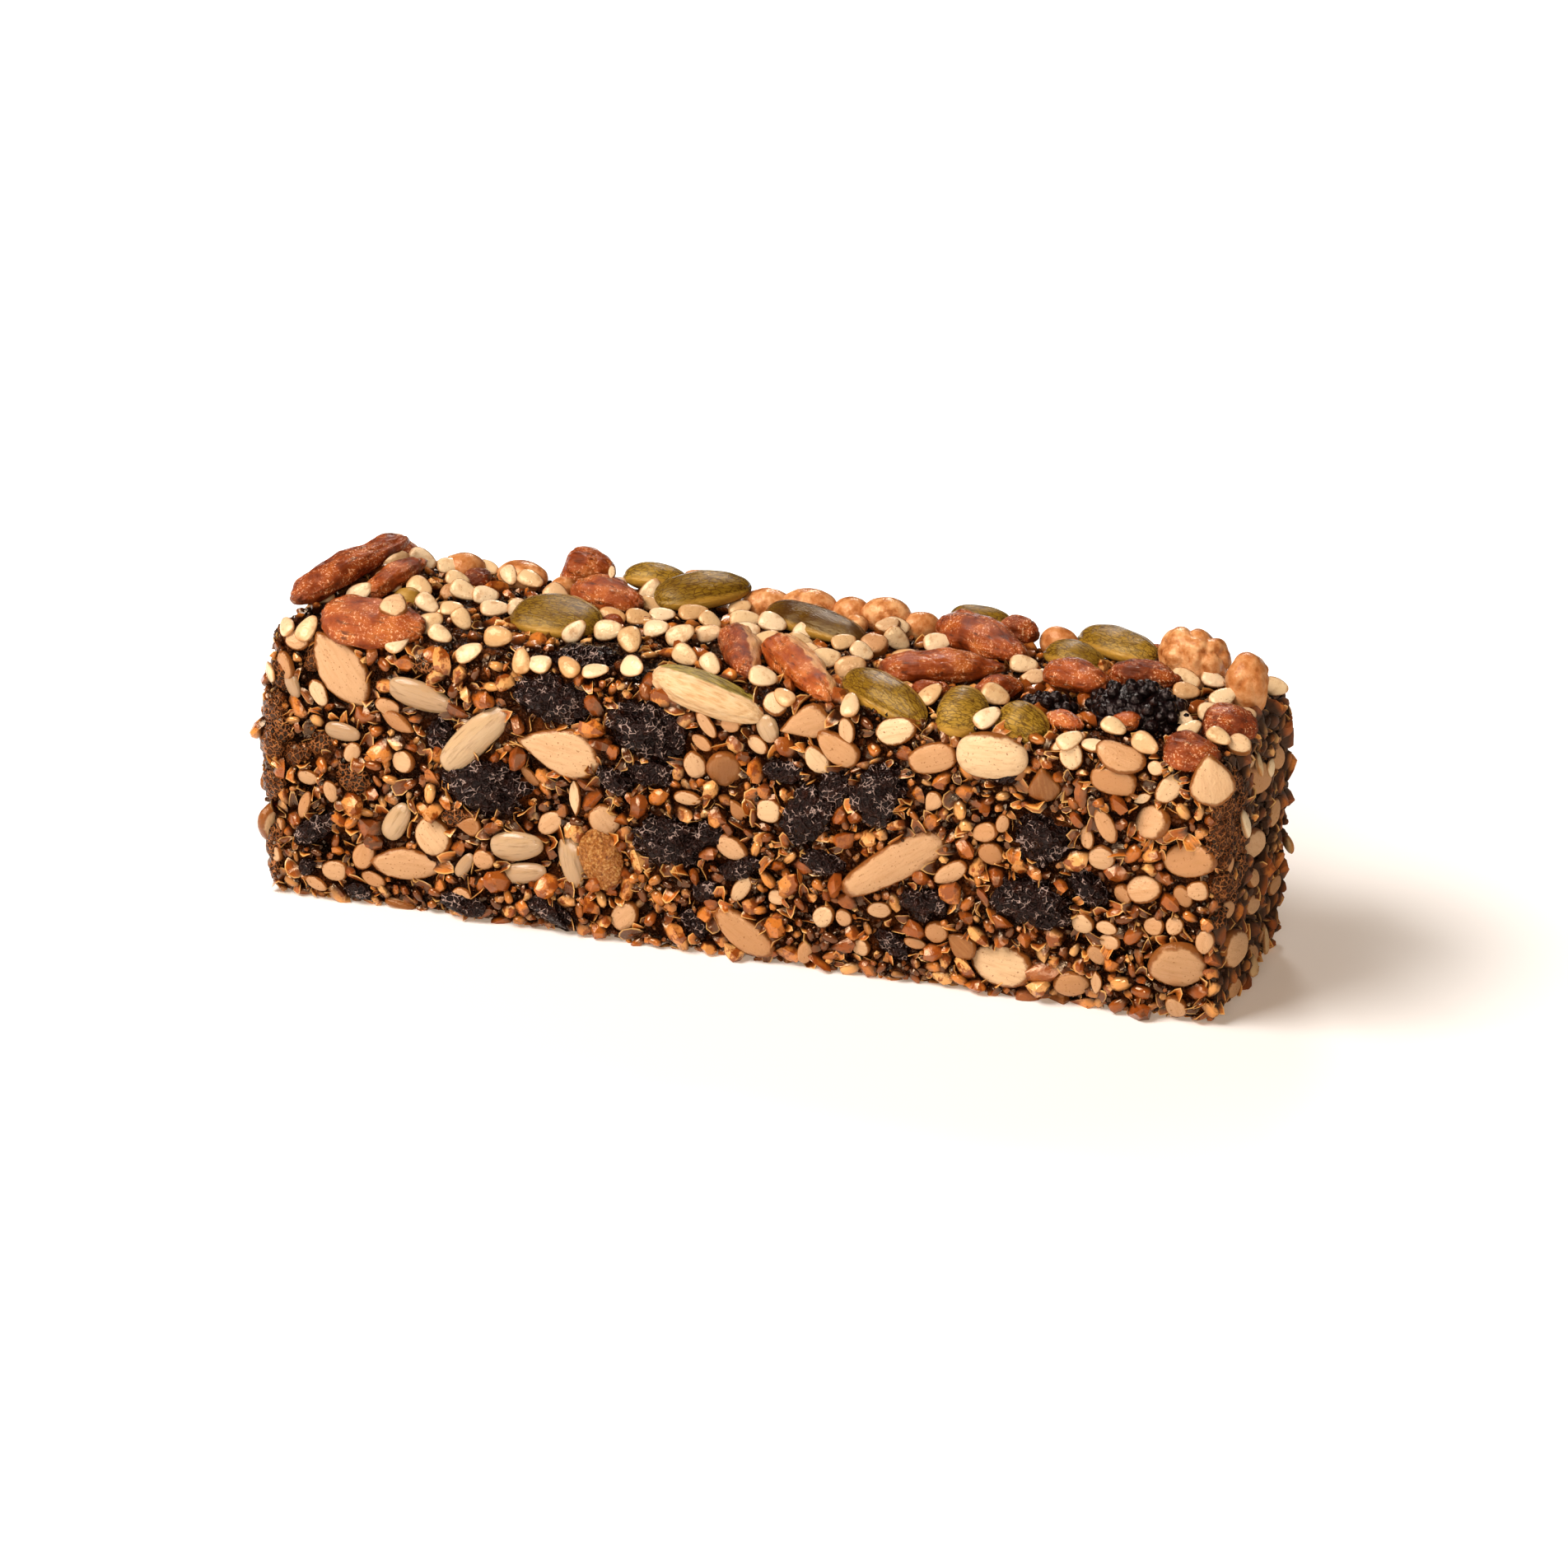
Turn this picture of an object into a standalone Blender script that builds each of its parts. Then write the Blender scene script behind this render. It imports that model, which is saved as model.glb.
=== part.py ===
# Fruit and nut bar: a pressed block of seeds, chopped nuts and raisins, with whole nuts and seeds on top.
# The bar lies on its flat underside, its length along X and its shown side towards -Y.
# Lengths are in millimetres until a mesh is made, and heights marked "rise" are above the block's top.

import math
import random

import bmesh
import bpy
from mathutils import Matrix, Vector, noise

MM = 0.001

# Driving dimensions of the pressed block
BLOCK_LENGTH = 115.0
BLOCK_WIDTH = 31.4
BLOCK_HEIGHT = 32.6
EDGE_RADIUS = 2.6
CELL = 5.6

# How far each long wall leans at the ends: base forward at the left, top forward at the right
LEAN = 1.8

# The left end bulges low down, over its height by this share of the most on average.
# The top is a little crowned, with a rise under the nuts at its left back.
END_BULGE = 1.0
MEAN_BULGE = 0.8
BULGE_SPAN = 1.1
CROWN = 0.6
HUMP_HEIGHT = 1.6
HUMP_CENTRE = (-51.5, 5.0)
HUMP_RADIUS = 8.0

# Uneven relief of the block's surface, and how much calmer the top is
RELIEF = 0.7
RELIEF_SPAN = 8.0
TOP_CALM = 0.7

# A direction that points down more steeply than this belongs to the underside, which is left flat
UNDERSIDE = -0.9

# Clearance between the block and a topping, and round a topping that fused seeds keep out of
GAP = 0.3
SEED_CLEARANCE = 0.55
TOPPING_GROWTH = 1.08

SEED = 41

# Toppings, each from one end to the other: (x, y, rise), (x, y, rise), width, thickness, roll, arch.
# A positive roll, in degrees, tips the side that faces the viewer down. Arch lifts the middle and
# lowers both ends.
ALMONDS = [
    ((-58.0, -9.4, 1.4), (-49.9, 6.6, 6.0), 5.2, 3.6, 0, 0.5),
    ((-58.4, 11.0, 1.6), (-49.2, 12.0, 1.2), 5.2, 4.4, 0, 2.2),
    ((-50.2, -4.2, 2.0), (-47.2, 6.0, 3.6), 3.6, 2.8, 0, 0.5),
    ((-52.4, -12.2, 1.0), (-39.4, -12.0, 0.8), 7.4, 4.6, 28, -0.4),
    ((-32.4, 13.2, 2.4), (-25.8, 13.8, 2.6), 6.4, 5.0, 0, 0.4),
    ((-28.6, 7.4, 2.0), (-18.8, 4.0, 1.9), 6.0, 4.4, 12, 0.5),
    ((-6.0, 0.4, 1.7), (0.8, -13.0, 1.0), 4.6, 3.8, 0, 0.2),
    ((-0.6, -2.6, 2.1), (11.4, -15.0, 0.1), 5.0, 4.0, 10, 0.3),
    ((16.0, 11.4, 2.4), (28.4, 3.2, 2.1), 5.8, 4.4, 8, 0.4),
    ((22.6, 12.8, 2.4), (28.0, 11.5, 2.3), 3.4, 3.6, 0, 0.2),
    ((14.0, -6.8, 1.8), (27.4, -1.0, 2.0), 4.8, 3.6, 10, 0.3),
    ((19.0, -10.3, 1.1), (23.2, -8.9, 1.1), 2.4, 2.4, 10, 0.0),
    ((26.4, -9.0, 1.2), (30.4, -4.4, 1.4), 3.6, 2.8, 20, 0.2),
    ((32.6, -2.7, 2.8), (40.6, -5.5, 2.9), 4.6, 3.6, 15, 0.4),
    ((38.8, 1.0, 2.3), (47.4, 2.2, 2.1), 4.2, 3.4, 0, 0.3),
    ((35.8, -12.2, 0.8), (40.2, -14.0, 0.4), 2.4, 2.2, 15, 0.0),
    ((52.4, -9.0, 1.2), (58.6, -8.3, 1.1), 5.6, 3.8, 15, 0.3),
    ((49.8, -15.4, -0.2), (56.2, -15.1, -0.4), 5.0, 3.4, 34, 0.2),
]
PUMPKIN_SEEDS = [
    ((-32.0, -3.2, 1.8), (-21.0, -4.0, 1.6), 7.3, 3.2, 20, 0.2),
    ((-25.0, 14.8, 2.2), (-17.0, 14.7, 2.2), 4.4, 3.2, 8, 0.2),
    ((-18.2, 7.0, 2.2), (-8.6, 13.2, 3.4), 6.2, 3.6, 18, 0.3),
    ((-4.9, 9.9, 1.9), (8.8, 3.8, 1.4), 5.0, 3.2, 15, 0.2),
    ((-10.2, -14.4, 0.1), (3.4, -15.0, -3.0), 4.4, 4.6, 62, 0.0),
    ((11.4, -9.4, 1.5), (22.2, -15.4, -0.7), 5.0, 3.4, 25, 0.2),
    ((23.4, -13.7, 0.2), (29.0, -13.6, 0.2), 6.4, 4.0, 38, 0.0),
    ((30.4, -13.1, 0.6), (36.2, -14.9, -0.6), 4.7, 3.4, 40, 0.0),
    ((15.8, 14.9, 2.2), (23.0, 15.5, 2.2), 4.0, 3.0, 5, 0.0),
    ((29.6, 8.6, 1.7), (36.6, 6.0, 1.5), 4.6, 3.0, 15, 0.2),
    ((32.0, 14.8, 2.1), (42.0, 10.2, 1.9), 5.2, 3.2, 15, 0.2),
]
CUT_SEEDS = [
    ((26.6, -16.7, -3.5), (34.9, -16.9, -3.1), 5.5, 3.0, 90, 0.0),
]
DRIED_FRUIT = [
    ((39.2, -7.6, 1.0), (50.6, -8.6, 0.9), 9.0, 6.0, 14, 0.0),
    ((31.4, -8.6, 0.7), (38.2, -9.4, 0.8), 3.2, 3.0, 10, 0.0),
]
WALNUTS = [
    ((42.8, 8.4, 2.7), (51.2, 8.0, 2.6), 6.0, 7.6, 0, 0.0),
    ((52.0, 3.1, 2.4), (57.2, 2.6, 2.2), 6.1, 7.2, 0, 0.0),
]

# Each kind of topping: how far its widest part lies towards one end, and how knobbly it is
TOPPING_FORMS = {
    "almond": (0.21, 0.0),
    "pumpkin_seed": (0.1, 0.0),
    "cut_seed": (0.07, 0.0),
    "dried_fruit": (0.07, 0.08),
    "walnut": (0.1, 0.13),
}

# Nuts half sunk in the top along its far edge: x, y, rise of the middle, length, width, height, heading
BACK_NUTS = [
    (-44.4, 11.2, 1.3, 5.4, 4.6, 4.4, 20),
    (-37.4, 12.4, 1.1, 6.6, 4.2, 4.2, 0),
    (-6.3, 12.9, 1.7, 4.8, 4.2, 4.8, 0),
    (-1.2, 13.2, 1.9, 5.2, 4.2, 5.0, 10),
    (3.6, 13.4, 2.0, 4.6, 4.2, 5.2, -20),
    (8.3, 12.8, 2.0, 5.2, 4.8, 5.4, 0),
    (13.0, 13.0, 1.2, 3.6, 3.4, 3.8, 30),
]

# Large pieces that show in the front wall: x, height above the floor, length, width, angle in degrees
FRONT_PIECES = [
    (-48.6, 26.6, 9.4, 5.6, -53),
    (-38.7, 26.4, 8.0, 3.4, -5),
    (-31.5, 22.7, 11.0, 3.9, 43),
    (-30.0, 15.8, 10.4, 5.6, 0),
    (-22.3, 28.6, 9.0, 4.6, 0),
    (-21.2, 22.3, 10.4, 5.0, -10),
    (-10.2, 25.9, 9.6, 6.0, 0),
    (-15.6, 9.6, 7.4, 4.6, -60),
    (-7.5, 13.2, 8.0, 5.8, 15),
    (-40.3, 5.4, 9.2, 4.0, 0),
    (-37.0, 10.4, 5.0, 4.4, 0),
    (-41.5, 11.7, 5.0, 2.8, 62),
    (-51.9, 8.3, 6.4, 2.8, 35),
    (-48.4, 20.9, 4.4, 2.3, 8),
    (-40.6, 18.3, 3.6, 2.8, 0),
    (-26.3, 9.9, 6.4, 3.4, 15),
    (-25.3, 6.0, 5.2, 2.5, 20),
    (-19.6, 8.8, 6.2, 2.9, -72),
    (-12.9, 3.4, 4.2, 3.2, 50),
    (-1.4, 22.8, 4.8, 4.2, 90),
    (0.1, 13.6, 4.2, 2.8, -20),
    (1.9, 4.2, 8.6, 3.6, -33),
    (8.0, 27.4, 6.2, 3.4, 25),
    (13.2, 26.8, 5.4, 3.3, -20),
    (19.6, 14.6, 13.6, 4.3, 34),
    (9.4, 18.2, 7.4, 6.6, 20),
    (18.0, 23.0, 6.2, 5.6, 30),
    (26.6, 14.0, 4.6, 2.4, 38),
    (23.0, 9.0, 5.0, 3.8, 0),
    (23.0, 26.6, 5.4, 3.2, 25),
    (32.6, 4.5, 7.8, 5.0, 10),
    (36.7, 20.2, 7.8, 6.6, 60),
    (35.4, 12.0, 7.6, 5.4, 10),
    (40.9, 3.4, 4.4, 3.2, 15),
    (44.5, 29.4, 5.8, 4.6, -10),
    (48.8, 23.6, 5.8, 3.9, 8),
    (53.2, 19.8, 6.2, 4.1, 15),
    (48.3, 15.6, 4.6, 3.6, 20),
    (52.6, 7.6, 6.6, 6.2, 0),
    (55.0, 28.4, 5.6, 4.2, 75),
    (43.5, 18.8, 3.2, 3.0, 0),
]

# Scatter of the pieces that no list places: how many are tried, their longest and shortest length,
# the share of the length that is width, how far apart they are, how close to an edge,
# and the room round a listed piece as a share of its mean size
WALL_TRIES = 1500
WALL_LENGTHS = (6.4, 2.6)
WALL_WIDTHS = (0.55, 0.85)
WALL_SPACING = 1.12
WALL_EDGE = 0.5
FRONT_REACH = 0.9
MOST_FRONT = 26
MOST_BACK = 46
MOST_END = 15
TOP_TRIES = 1600
MOST_TOP = 44
TOP_EDGES = (4.0, 3.0)
TOP_SPACING = 3.3
SESAME_LENGTHS = (3.4, 2.8)
SESAME_WIDTH = 0.7
SESAME_HEIGHT = 1.9
SESAME_RISE = 0.25

# A piece in a wall: its thickness as a share of its width, up to the widest that counts, and how far
# it is sunk
WALL_THICKNESS = 0.62
WIDEST_COUNTED = 4.2
WALL_SUNK = 0.12

# How the rings of a topping and of a fused piece narrow towards their ends
TOPPING_FULLNESS = 0.85
FUSED_FULLNESS = 0.7

# Sides and rings of a topping, of a large fused piece and of a fused seed
TOPPING_SIDES = 8
TOPPING_RINGS = 6
LARGE_SIDES = 7
LARGE_RINGS = 4
SMALL_SIDES = 6
SMALL_RINGS = 3
LARGE_FROM = 5.0

# Base colours, linear, with roughness
FINISHES = {
    "pressed_mix": ((0.16, 0.07, 0.03), 0.55),
    "almond_skin": ((0.26, 0.05, 0.015), 0.32),
    "pumpkin_seed": ((0.21, 0.17, 0.035), 0.35),
    "cut_nut": ((0.72, 0.48, 0.25), 0.5),
    "dried_fruit": ((0.02, 0.01, 0.012), 0.3),
    "walnut": ((0.5, 0.26, 0.11), 0.5),
}


def clear_scene():
    for obj in list(bpy.data.objects):
        bpy.data.objects.remove(obj)


def make_materials():
    made = {}
    for name, (colour, roughness) in FINISHES.items():
        material = bpy.data.materials.new(name)
        material.use_nodes = True
        shader = material.node_tree.nodes["Principled BSDF"]
        shader.inputs["Base Color"].default_value = (*colour, 1)
        shader.inputs["Roughness"].default_value = roughness
        shader.inputs["Metallic"].default_value = 0
        made[name] = material
    return made


def lean_at(x, z):
    """Sideways shift of the section at x and height z."""
    half = BLOCK_HEIGHT / 2
    return -LEAN * (x / (BLOCK_LENGTH / 2)) * ((z - half) / half)


def top_rise(x, y):
    """Extra height of the top over the plain block: a low crown, and the rise at the left back."""
    crown = CROWN * max(0.0, 1 - (y / (BLOCK_WIDTH / 2)) ** 2)
    away = math.hypot(x - HUMP_CENTRE[0], y - HUMP_CENTRE[1]) / HUMP_RADIUS
    return crown + HUMP_HEIGHT * math.exp(-away * away)


def shaped_point(point, margin):
    """A point of the plain box moved to the block: rounded edges, relief, bulge, crown and lean."""
    half = Vector((BLOCK_LENGTH / 2 + margin, BLOCK_WIDTH / 2 + margin, BLOCK_HEIGHT / 2 + margin))
    radius = EDGE_RADIUS + margin
    centre = Vector((0, 0, BLOCK_HEIGHT / 2))
    local = Vector([point[i] * half[i] for i in range(3)])
    inner = Vector([max(-half[i] + radius, min(half[i] - radius, local[i])) for i in range(3)])
    away = (local - inner).normalized()
    placed = centre + inner + away * radius
    if away.z < UNDERSIDE:
        placed.y += lean_at(placed.x, placed.z)
        return placed
    sample = Vector([point[i] * (BLOCK_LENGTH, BLOCK_WIDTH, BLOCK_HEIGHT)[i] for i in range(3)])
    placed += away * RELIEF * (1 - TOP_CALM * max(0.0, away.z)) * noise.noise(sample / RELIEF_SPAN)
    low_down = math.sin(math.pi * min(1.0, max(0.0, placed.z / (BLOCK_HEIGHT * BULGE_SPAN))))
    placed.x -= END_BULGE * low_down * max(0.0, -away.x)
    if away.z > 0:
        placed.z += top_rise(placed.x, placed.y) * away.z
    placed.y += lean_at(placed.x, placed.z)
    return placed


def axis_stops(length):
    """Places from -1 to 1 along one axis of the box: one narrow cell at each edge, even ones between."""
    edge = 2 * EDGE_RADIUS / length
    count = max(2, round((length - 2 * EDGE_RADIUS) / CELL))
    span = 2 - 2 * edge
    return [-1.0] + [-1 + edge + span * i / count for i in range(count + 1)] + [1.0]


def block_mesh(name, margin):
    """The pressed block as one closed shell on a lattice of the box's surface."""
    stops = [axis_stops(length) for length in (BLOCK_LENGTH, BLOCK_WIDTH, BLOCK_HEIGHT)]
    last = [len(row) - 1 for row in stops]
    shell = bmesh.new()
    corners = {}

    def corner(key):
        if key not in corners:
            point = [stops[i][key[i]] for i in range(3)]
            corners[key] = shell.verts.new(shaped_point(point, margin) * MM)
        return corners[key]

    for axis in range(3):
        across, along = [i for i in range(3) if i != axis]
        for side in (0, last[axis]):
            for i in range(last[across]):
                for j in range(last[along]):
                    face = []
                    for di, dj in ((0, 0), (1, 0), (1, 1), (0, 1)):
                        key = [0, 0, 0]
                        key[axis] = side
                        key[across] = i + di
                        key[along] = j + dj
                        face.append(corner(tuple(key)))
                    shell.faces.new(face)
    bmesh.ops.recalc_face_normals(shell, faces=shell.faces)
    bmesh.ops.triangulate(shell, faces=shell.faces)
    mesh = bpy.data.meshes.new(name)
    shell.to_mesh(mesh)
    shell.free()
    return mesh


def seed_frame(start, end, roll):
    """Middle, length and turned axes of a piece that lies from start to end."""
    middle = (start + end) / 2
    along = (end - start).normalized()
    across = Vector((0, 0, 1)).cross(along).normalized()
    up = along.cross(across)
    turn = Matrix.Rotation(math.radians(roll), 3, Vector((1, 0, 0)))
    if along.x < 0:
        turn = turn.inverted()
    return middle, (end - start).length, along, turn @ across, turn @ up


def ring_mesh(name, middle, axes, sizes, sides, rings, fullness, blunt=0.0, knobs=0.0, arch=0.0,
              stagger=0.0):
    """A closed seed, nut or lump: rings along its length, each an ellipse, between two tips.

    Blunt moves the widest ring towards one end, knobs make the rings lumpy, arch bends the piece
    and stagger turns every other ring by a share of a side.
    """
    along, across, up = axes
    length, width, thickness = sizes
    shell = bmesh.new()

    def bend(angle):
        return up * arch * (0.5 - math.cos(angle) ** 2)

    rows = []
    for ring in range(1, rings):
        angle = math.pi * ring / rings
        centre = middle - along * math.cos(angle) * length / 2 + bend(angle)
        size = math.sin(angle) ** fullness * (1 + blunt * math.cos(angle))
        row = []
        for side in range(sides):
            turn = 2 * math.pi * (side + stagger * (ring % 2)) / sides
            lump = 1 + knobs * math.sin(3 * turn + 2.1 * ring)
            outward = across * math.cos(turn) * width / 2 + up * math.sin(turn) * thickness / 2
            row.append(shell.verts.new((centre + outward * size * lump) * MM))
        rows.append(row)
    tips = [shell.verts.new((middle + along * length / 2 * side + bend(0)) * MM) for side in (-1, 1)]
    for side in range(sides):
        after = (side + 1) % sides
        shell.faces.new((tips[0], rows[0][side], rows[0][after]))
        shell.faces.new((tips[1], rows[-1][after], rows[-1][side]))
        for first, second in zip(rows, rows[1:]):
            shell.faces.new((first[side], second[side], second[after], first[after]))
    bmesh.ops.recalc_face_normals(shell, faces=shell.faces)
    mesh = bpy.data.meshes.new(name)
    shell.to_mesh(mesh)
    shell.free()
    mesh.shade_smooth()
    return mesh


def add_object(name, mesh, material, collection=None):
    mesh.materials.append(material)
    obj = bpy.data.objects.new(name, mesh)
    (collection or bpy.context.scene.collection).objects.link(obj)
    return obj


def on_top(place):
    """A place given as (x, y, rise) as a point in space."""
    return Vector((place[0], place[1], BLOCK_HEIGHT + place[2]))


def add_topping(name, row, material, cutter, blunt, knobs):
    """One whole nut or seed, with what would sink into the block cut away."""
    start, end, width, thickness, roll, arch = row
    middle, length, along, across, up = seed_frame(on_top(start), on_top(end), roll)
    mesh = ring_mesh(
        name, middle, (along, across, up), (length, width, thickness),
        TOPPING_SIDES, TOPPING_RINGS, TOPPING_FULLNESS, blunt, knobs, arch,
    )
    obj = add_object(name, mesh, material)
    cut = obj.modifiers.new("seat", "BOOLEAN")
    cut.operation = "DIFFERENCE"
    cut.object = cutter
    return obj


def add_toppings(materials, cutter):
    groups = (
        ("almond", ALMONDS, "almond_skin"),
        ("pumpkin_seed", PUMPKIN_SEEDS, "pumpkin_seed"),
        ("cut_seed", CUT_SEEDS, "cut_nut"),
        ("dried_fruit", DRIED_FRUIT, "dried_fruit"),
        ("walnut", WALNUTS, "walnut"),
    )
    for kind, rows, finish in groups:
        blunt, knobs = TOPPING_FORMS[kind]
        for number, row in enumerate(rows, 1):
            add_topping(f"{kind}_{number}", row, materials[finish], cutter, blunt, knobs)


def all_topping_frames():
    """Middle, half sizes and axes of every topping, for keeping the fused seeds clear of them."""
    frames = []
    for row in ALMONDS + PUMPKIN_SEEDS + CUT_SEEDS + DRIED_FRUIT + WALNUTS:
        start, end, width, thickness, roll, _ = row
        middle, length, along, across, up = seed_frame(on_top(start), on_top(end), roll)
        frames.append((middle, (length / 2, width / 2, thickness / 2), (along, across, up)))
    return frames


def clear_of_toppings(place, reach, frames):
    """Whether a seed of this reach stays clear of every topping, each taken as an ellipsoid grown by it."""
    for middle, halves, axes in frames:
        away = place - middle
        grown = [half * TOPPING_GROWTH + reach + SEED_CLEARANCE for half in halves]
        if sum((away.dot(axes[i]) / grown[i]) ** 2 for i in range(3)) < 1:
            return False
    return True


class Wall:
    """One side of the block: a centre, two directions on it, its outward normal and its half sizes."""

    def __init__(self, centre, right, up, half_wide, half_high, most):
        self.centre = Vector(centre)
        self.right = Vector(right)
        self.up = Vector(up)
        self.out = self.right.cross(self.up)
        self.half_wide = half_wide
        self.half_high = half_high
        self.most = most

    def point(self, across, height, depth):
        place = self.centre + self.right * across + self.up * height + self.out * depth
        place.y += lean_at(place.x, place.z)
        return place


def fuse_piece(wall, across, height, length, width, angle, pieces):
    """A piece set in a wall with about a third of its thickness standing proud."""
    turn = math.radians(angle)
    along = wall.right * math.cos(turn) + wall.up * math.sin(turn)
    thickness = min(width, WIDEST_COUNTED) * WALL_THICKNESS
    middle = wall.point(across, height, -thickness * WALL_SUNK)
    pieces.append((middle, along, wall.out, (length, width, thickness)))


def fused_mesh(name, middle, along, out, sizes):
    """A piece that is joined to the block: a low ellipsoid whose thin way points out of its side."""
    large = sizes[0] >= LARGE_FROM
    sides = LARGE_SIDES if large else SMALL_SIDES
    rings = LARGE_RINGS if large else SMALL_RINGS
    axes = (along, out.cross(along).normalized(), out)
    return ring_mesh(name, middle, axes, sizes, sides, rings, FUSED_FULLNESS, stagger=0.5)


def scatter_on_wall(wall, taken, pieces, frames, draw):
    """Seeds over one wall, the largest first, each kept clear of those already there and of the toppings."""
    placed = 0
    tries = 0
    while placed < wall.most and tries < WALL_TRIES:
        tries += 1
        share = placed / wall.most
        length = WALL_LENGTHS[0] + (WALL_LENGTHS[1] - WALL_LENGTHS[0]) * share ** 0.5
        width = length * draw.uniform(*WALL_WIDTHS)
        edge = length / 2 + WALL_EDGE
        across = draw.uniform(edge - wall.half_wide, wall.half_wide - edge)
        height = draw.uniform(edge - wall.half_high, wall.half_high - edge)
        angle = draw.uniform(0, 180)
        near = [
            other for other in taken
            if math.hypot(across - other[0], height - other[1]) < WALL_SPACING * (length + other[2]) / 2
        ]
        if near:
            continue
        place = wall.point(across, height, 0)
        if not clear_of_toppings(place, length / 2, frames):
            continue
        taken.append((across, height, length))
        fuse_piece(wall, across, height, length, width, angle, pieces)
        placed += 1


def walls():
    half_high = BLOCK_HEIGHT / 2
    half_long = BLOCK_LENGTH / 2
    half_wide = BLOCK_WIDTH / 2
    up = (0, 0, 1)
    front = Wall((0, -half_wide, half_high), (1, 0, 0), up, half_long, half_high, MOST_FRONT)
    back = Wall((0, half_wide, half_high), (-1, 0, 0), up, half_long, half_high, MOST_BACK)
    right = Wall((half_long, 0, half_high), (0, 1, 0), up, half_wide, half_high, MOST_END)
    low_left = -half_long - END_BULGE * MEAN_BULGE
    left = Wall((low_left, 0, half_high), (0, -1, 0), up, half_wide, half_high, MOST_END)
    return front, back, right, left


def front_pieces(front, pieces):
    """The listed pieces of the front wall, and where they are, for the scatter between them."""
    taken = []
    for x, z, length, width, angle in FRONT_PIECES:
        fuse_piece(front, x, z - BLOCK_HEIGHT / 2, length, width, angle, pieces)
        taken.append((x, z - BLOCK_HEIGHT / 2, (length + width) / 2 * FRONT_REACH))
    return taken


def nuts_at_back(pieces, taken):
    """The listed nuts that stand out of the top along its far edge."""
    for x, y, rise, length, width, height, heading in BACK_NUTS:
        middle = on_top((x, y, rise))
        turn = math.radians(heading)
        along = Vector((math.cos(turn), math.sin(turn), 0))
        pieces.append((middle, along, Vector((0, 0, 1)), (length, width, height)))
        taken.append(middle)


def sesame_on_top(pieces, taken, frames, draw):
    """Sesame over the top, clear of the toppings and evenly apart."""
    placed = 0
    tries = 0
    while placed < MOST_TOP and tries < TOP_TRIES:
        tries += 1
        x = draw.uniform(TOP_EDGES[0] - BLOCK_LENGTH / 2, BLOCK_LENGTH / 2 - TOP_EDGES[0])
        y = draw.uniform(TOP_EDGES[1] - BLOCK_WIDTH / 2, BLOCK_WIDTH / 2 - TOP_EDGES[1])
        length = draw.uniform(*SESAME_LENGTHS)
        heading = draw.uniform(0, math.pi)
        height = BLOCK_HEIGHT + top_rise(x, y)
        place = Vector((x, y + lean_at(x, height), height))
        if any((place - other).length < TOP_SPACING for other in taken):
            continue
        if not clear_of_toppings(place, length / 2, frames):
            continue
        taken.append(place)
        placed += 1
        along = Vector((math.cos(heading), math.sin(heading), 0))
        middle = place + Vector((0, 0, SESAME_RISE))
        pieces.append((middle, along, Vector((0, 0, 1)), (length, length * SESAME_WIDTH, SESAME_HEIGHT)))


def make_bar(materials):
    """The block with every showing piece joined on by one union."""
    draw = random.Random(SEED)
    frames = all_topping_frames()
    pieces = []
    front, back, right, left = walls()
    taken = front_pieces(front, pieces)
    scatter_on_wall(front, taken, pieces, frames, draw)
    for wall in (back, right, left):
        scatter_on_wall(wall, [], pieces, frames, draw)
    on_top_already = []
    nuts_at_back(pieces, on_top_already)
    sesame_on_top(pieces, on_top_already, frames, draw)

    showing = bpy.data.collections.new("showing_pieces")
    for number, piece in enumerate(pieces):
        mesh = fused_mesh(f"piece_{number}", *piece)
        add_object(f"piece_{number}", mesh, materials["pressed_mix"], showing)

    bar = add_object("bar", block_mesh("bar", 0.0), materials["pressed_mix"])
    join = bar.modifiers.new("join", "BOOLEAN")
    join.operation = "UNION"
    join.operand_type = "COLLECTION"
    join.collection = showing
    bpy.context.view_layer.update()
    joined = bpy.data.meshes.new_from_object(bar.evaluated_get(bpy.context.evaluated_depsgraph_get()))
    bar.modifiers.clear()
    bar.data = joined
    for obj in list(showing.objects):
        bpy.data.objects.remove(obj)
    bpy.data.collections.remove(showing)
    return bar


def main():
    clear_scene()
    materials = make_materials()
    cutter = add_object("block_with_clearance", block_mesh("clearance", GAP), materials["pressed_mix"])
    cutter.hide_render = True
    cutter.display_type = "WIRE"
    make_bar(materials)
    add_toppings(materials, cutter)


main()
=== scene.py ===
# Fruit and nut bar: its looks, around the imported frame. Sizes are in millimetres until a mesh is made.
import math

import bpy
import numpy as np
from mathutils import Matrix, Vector


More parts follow.
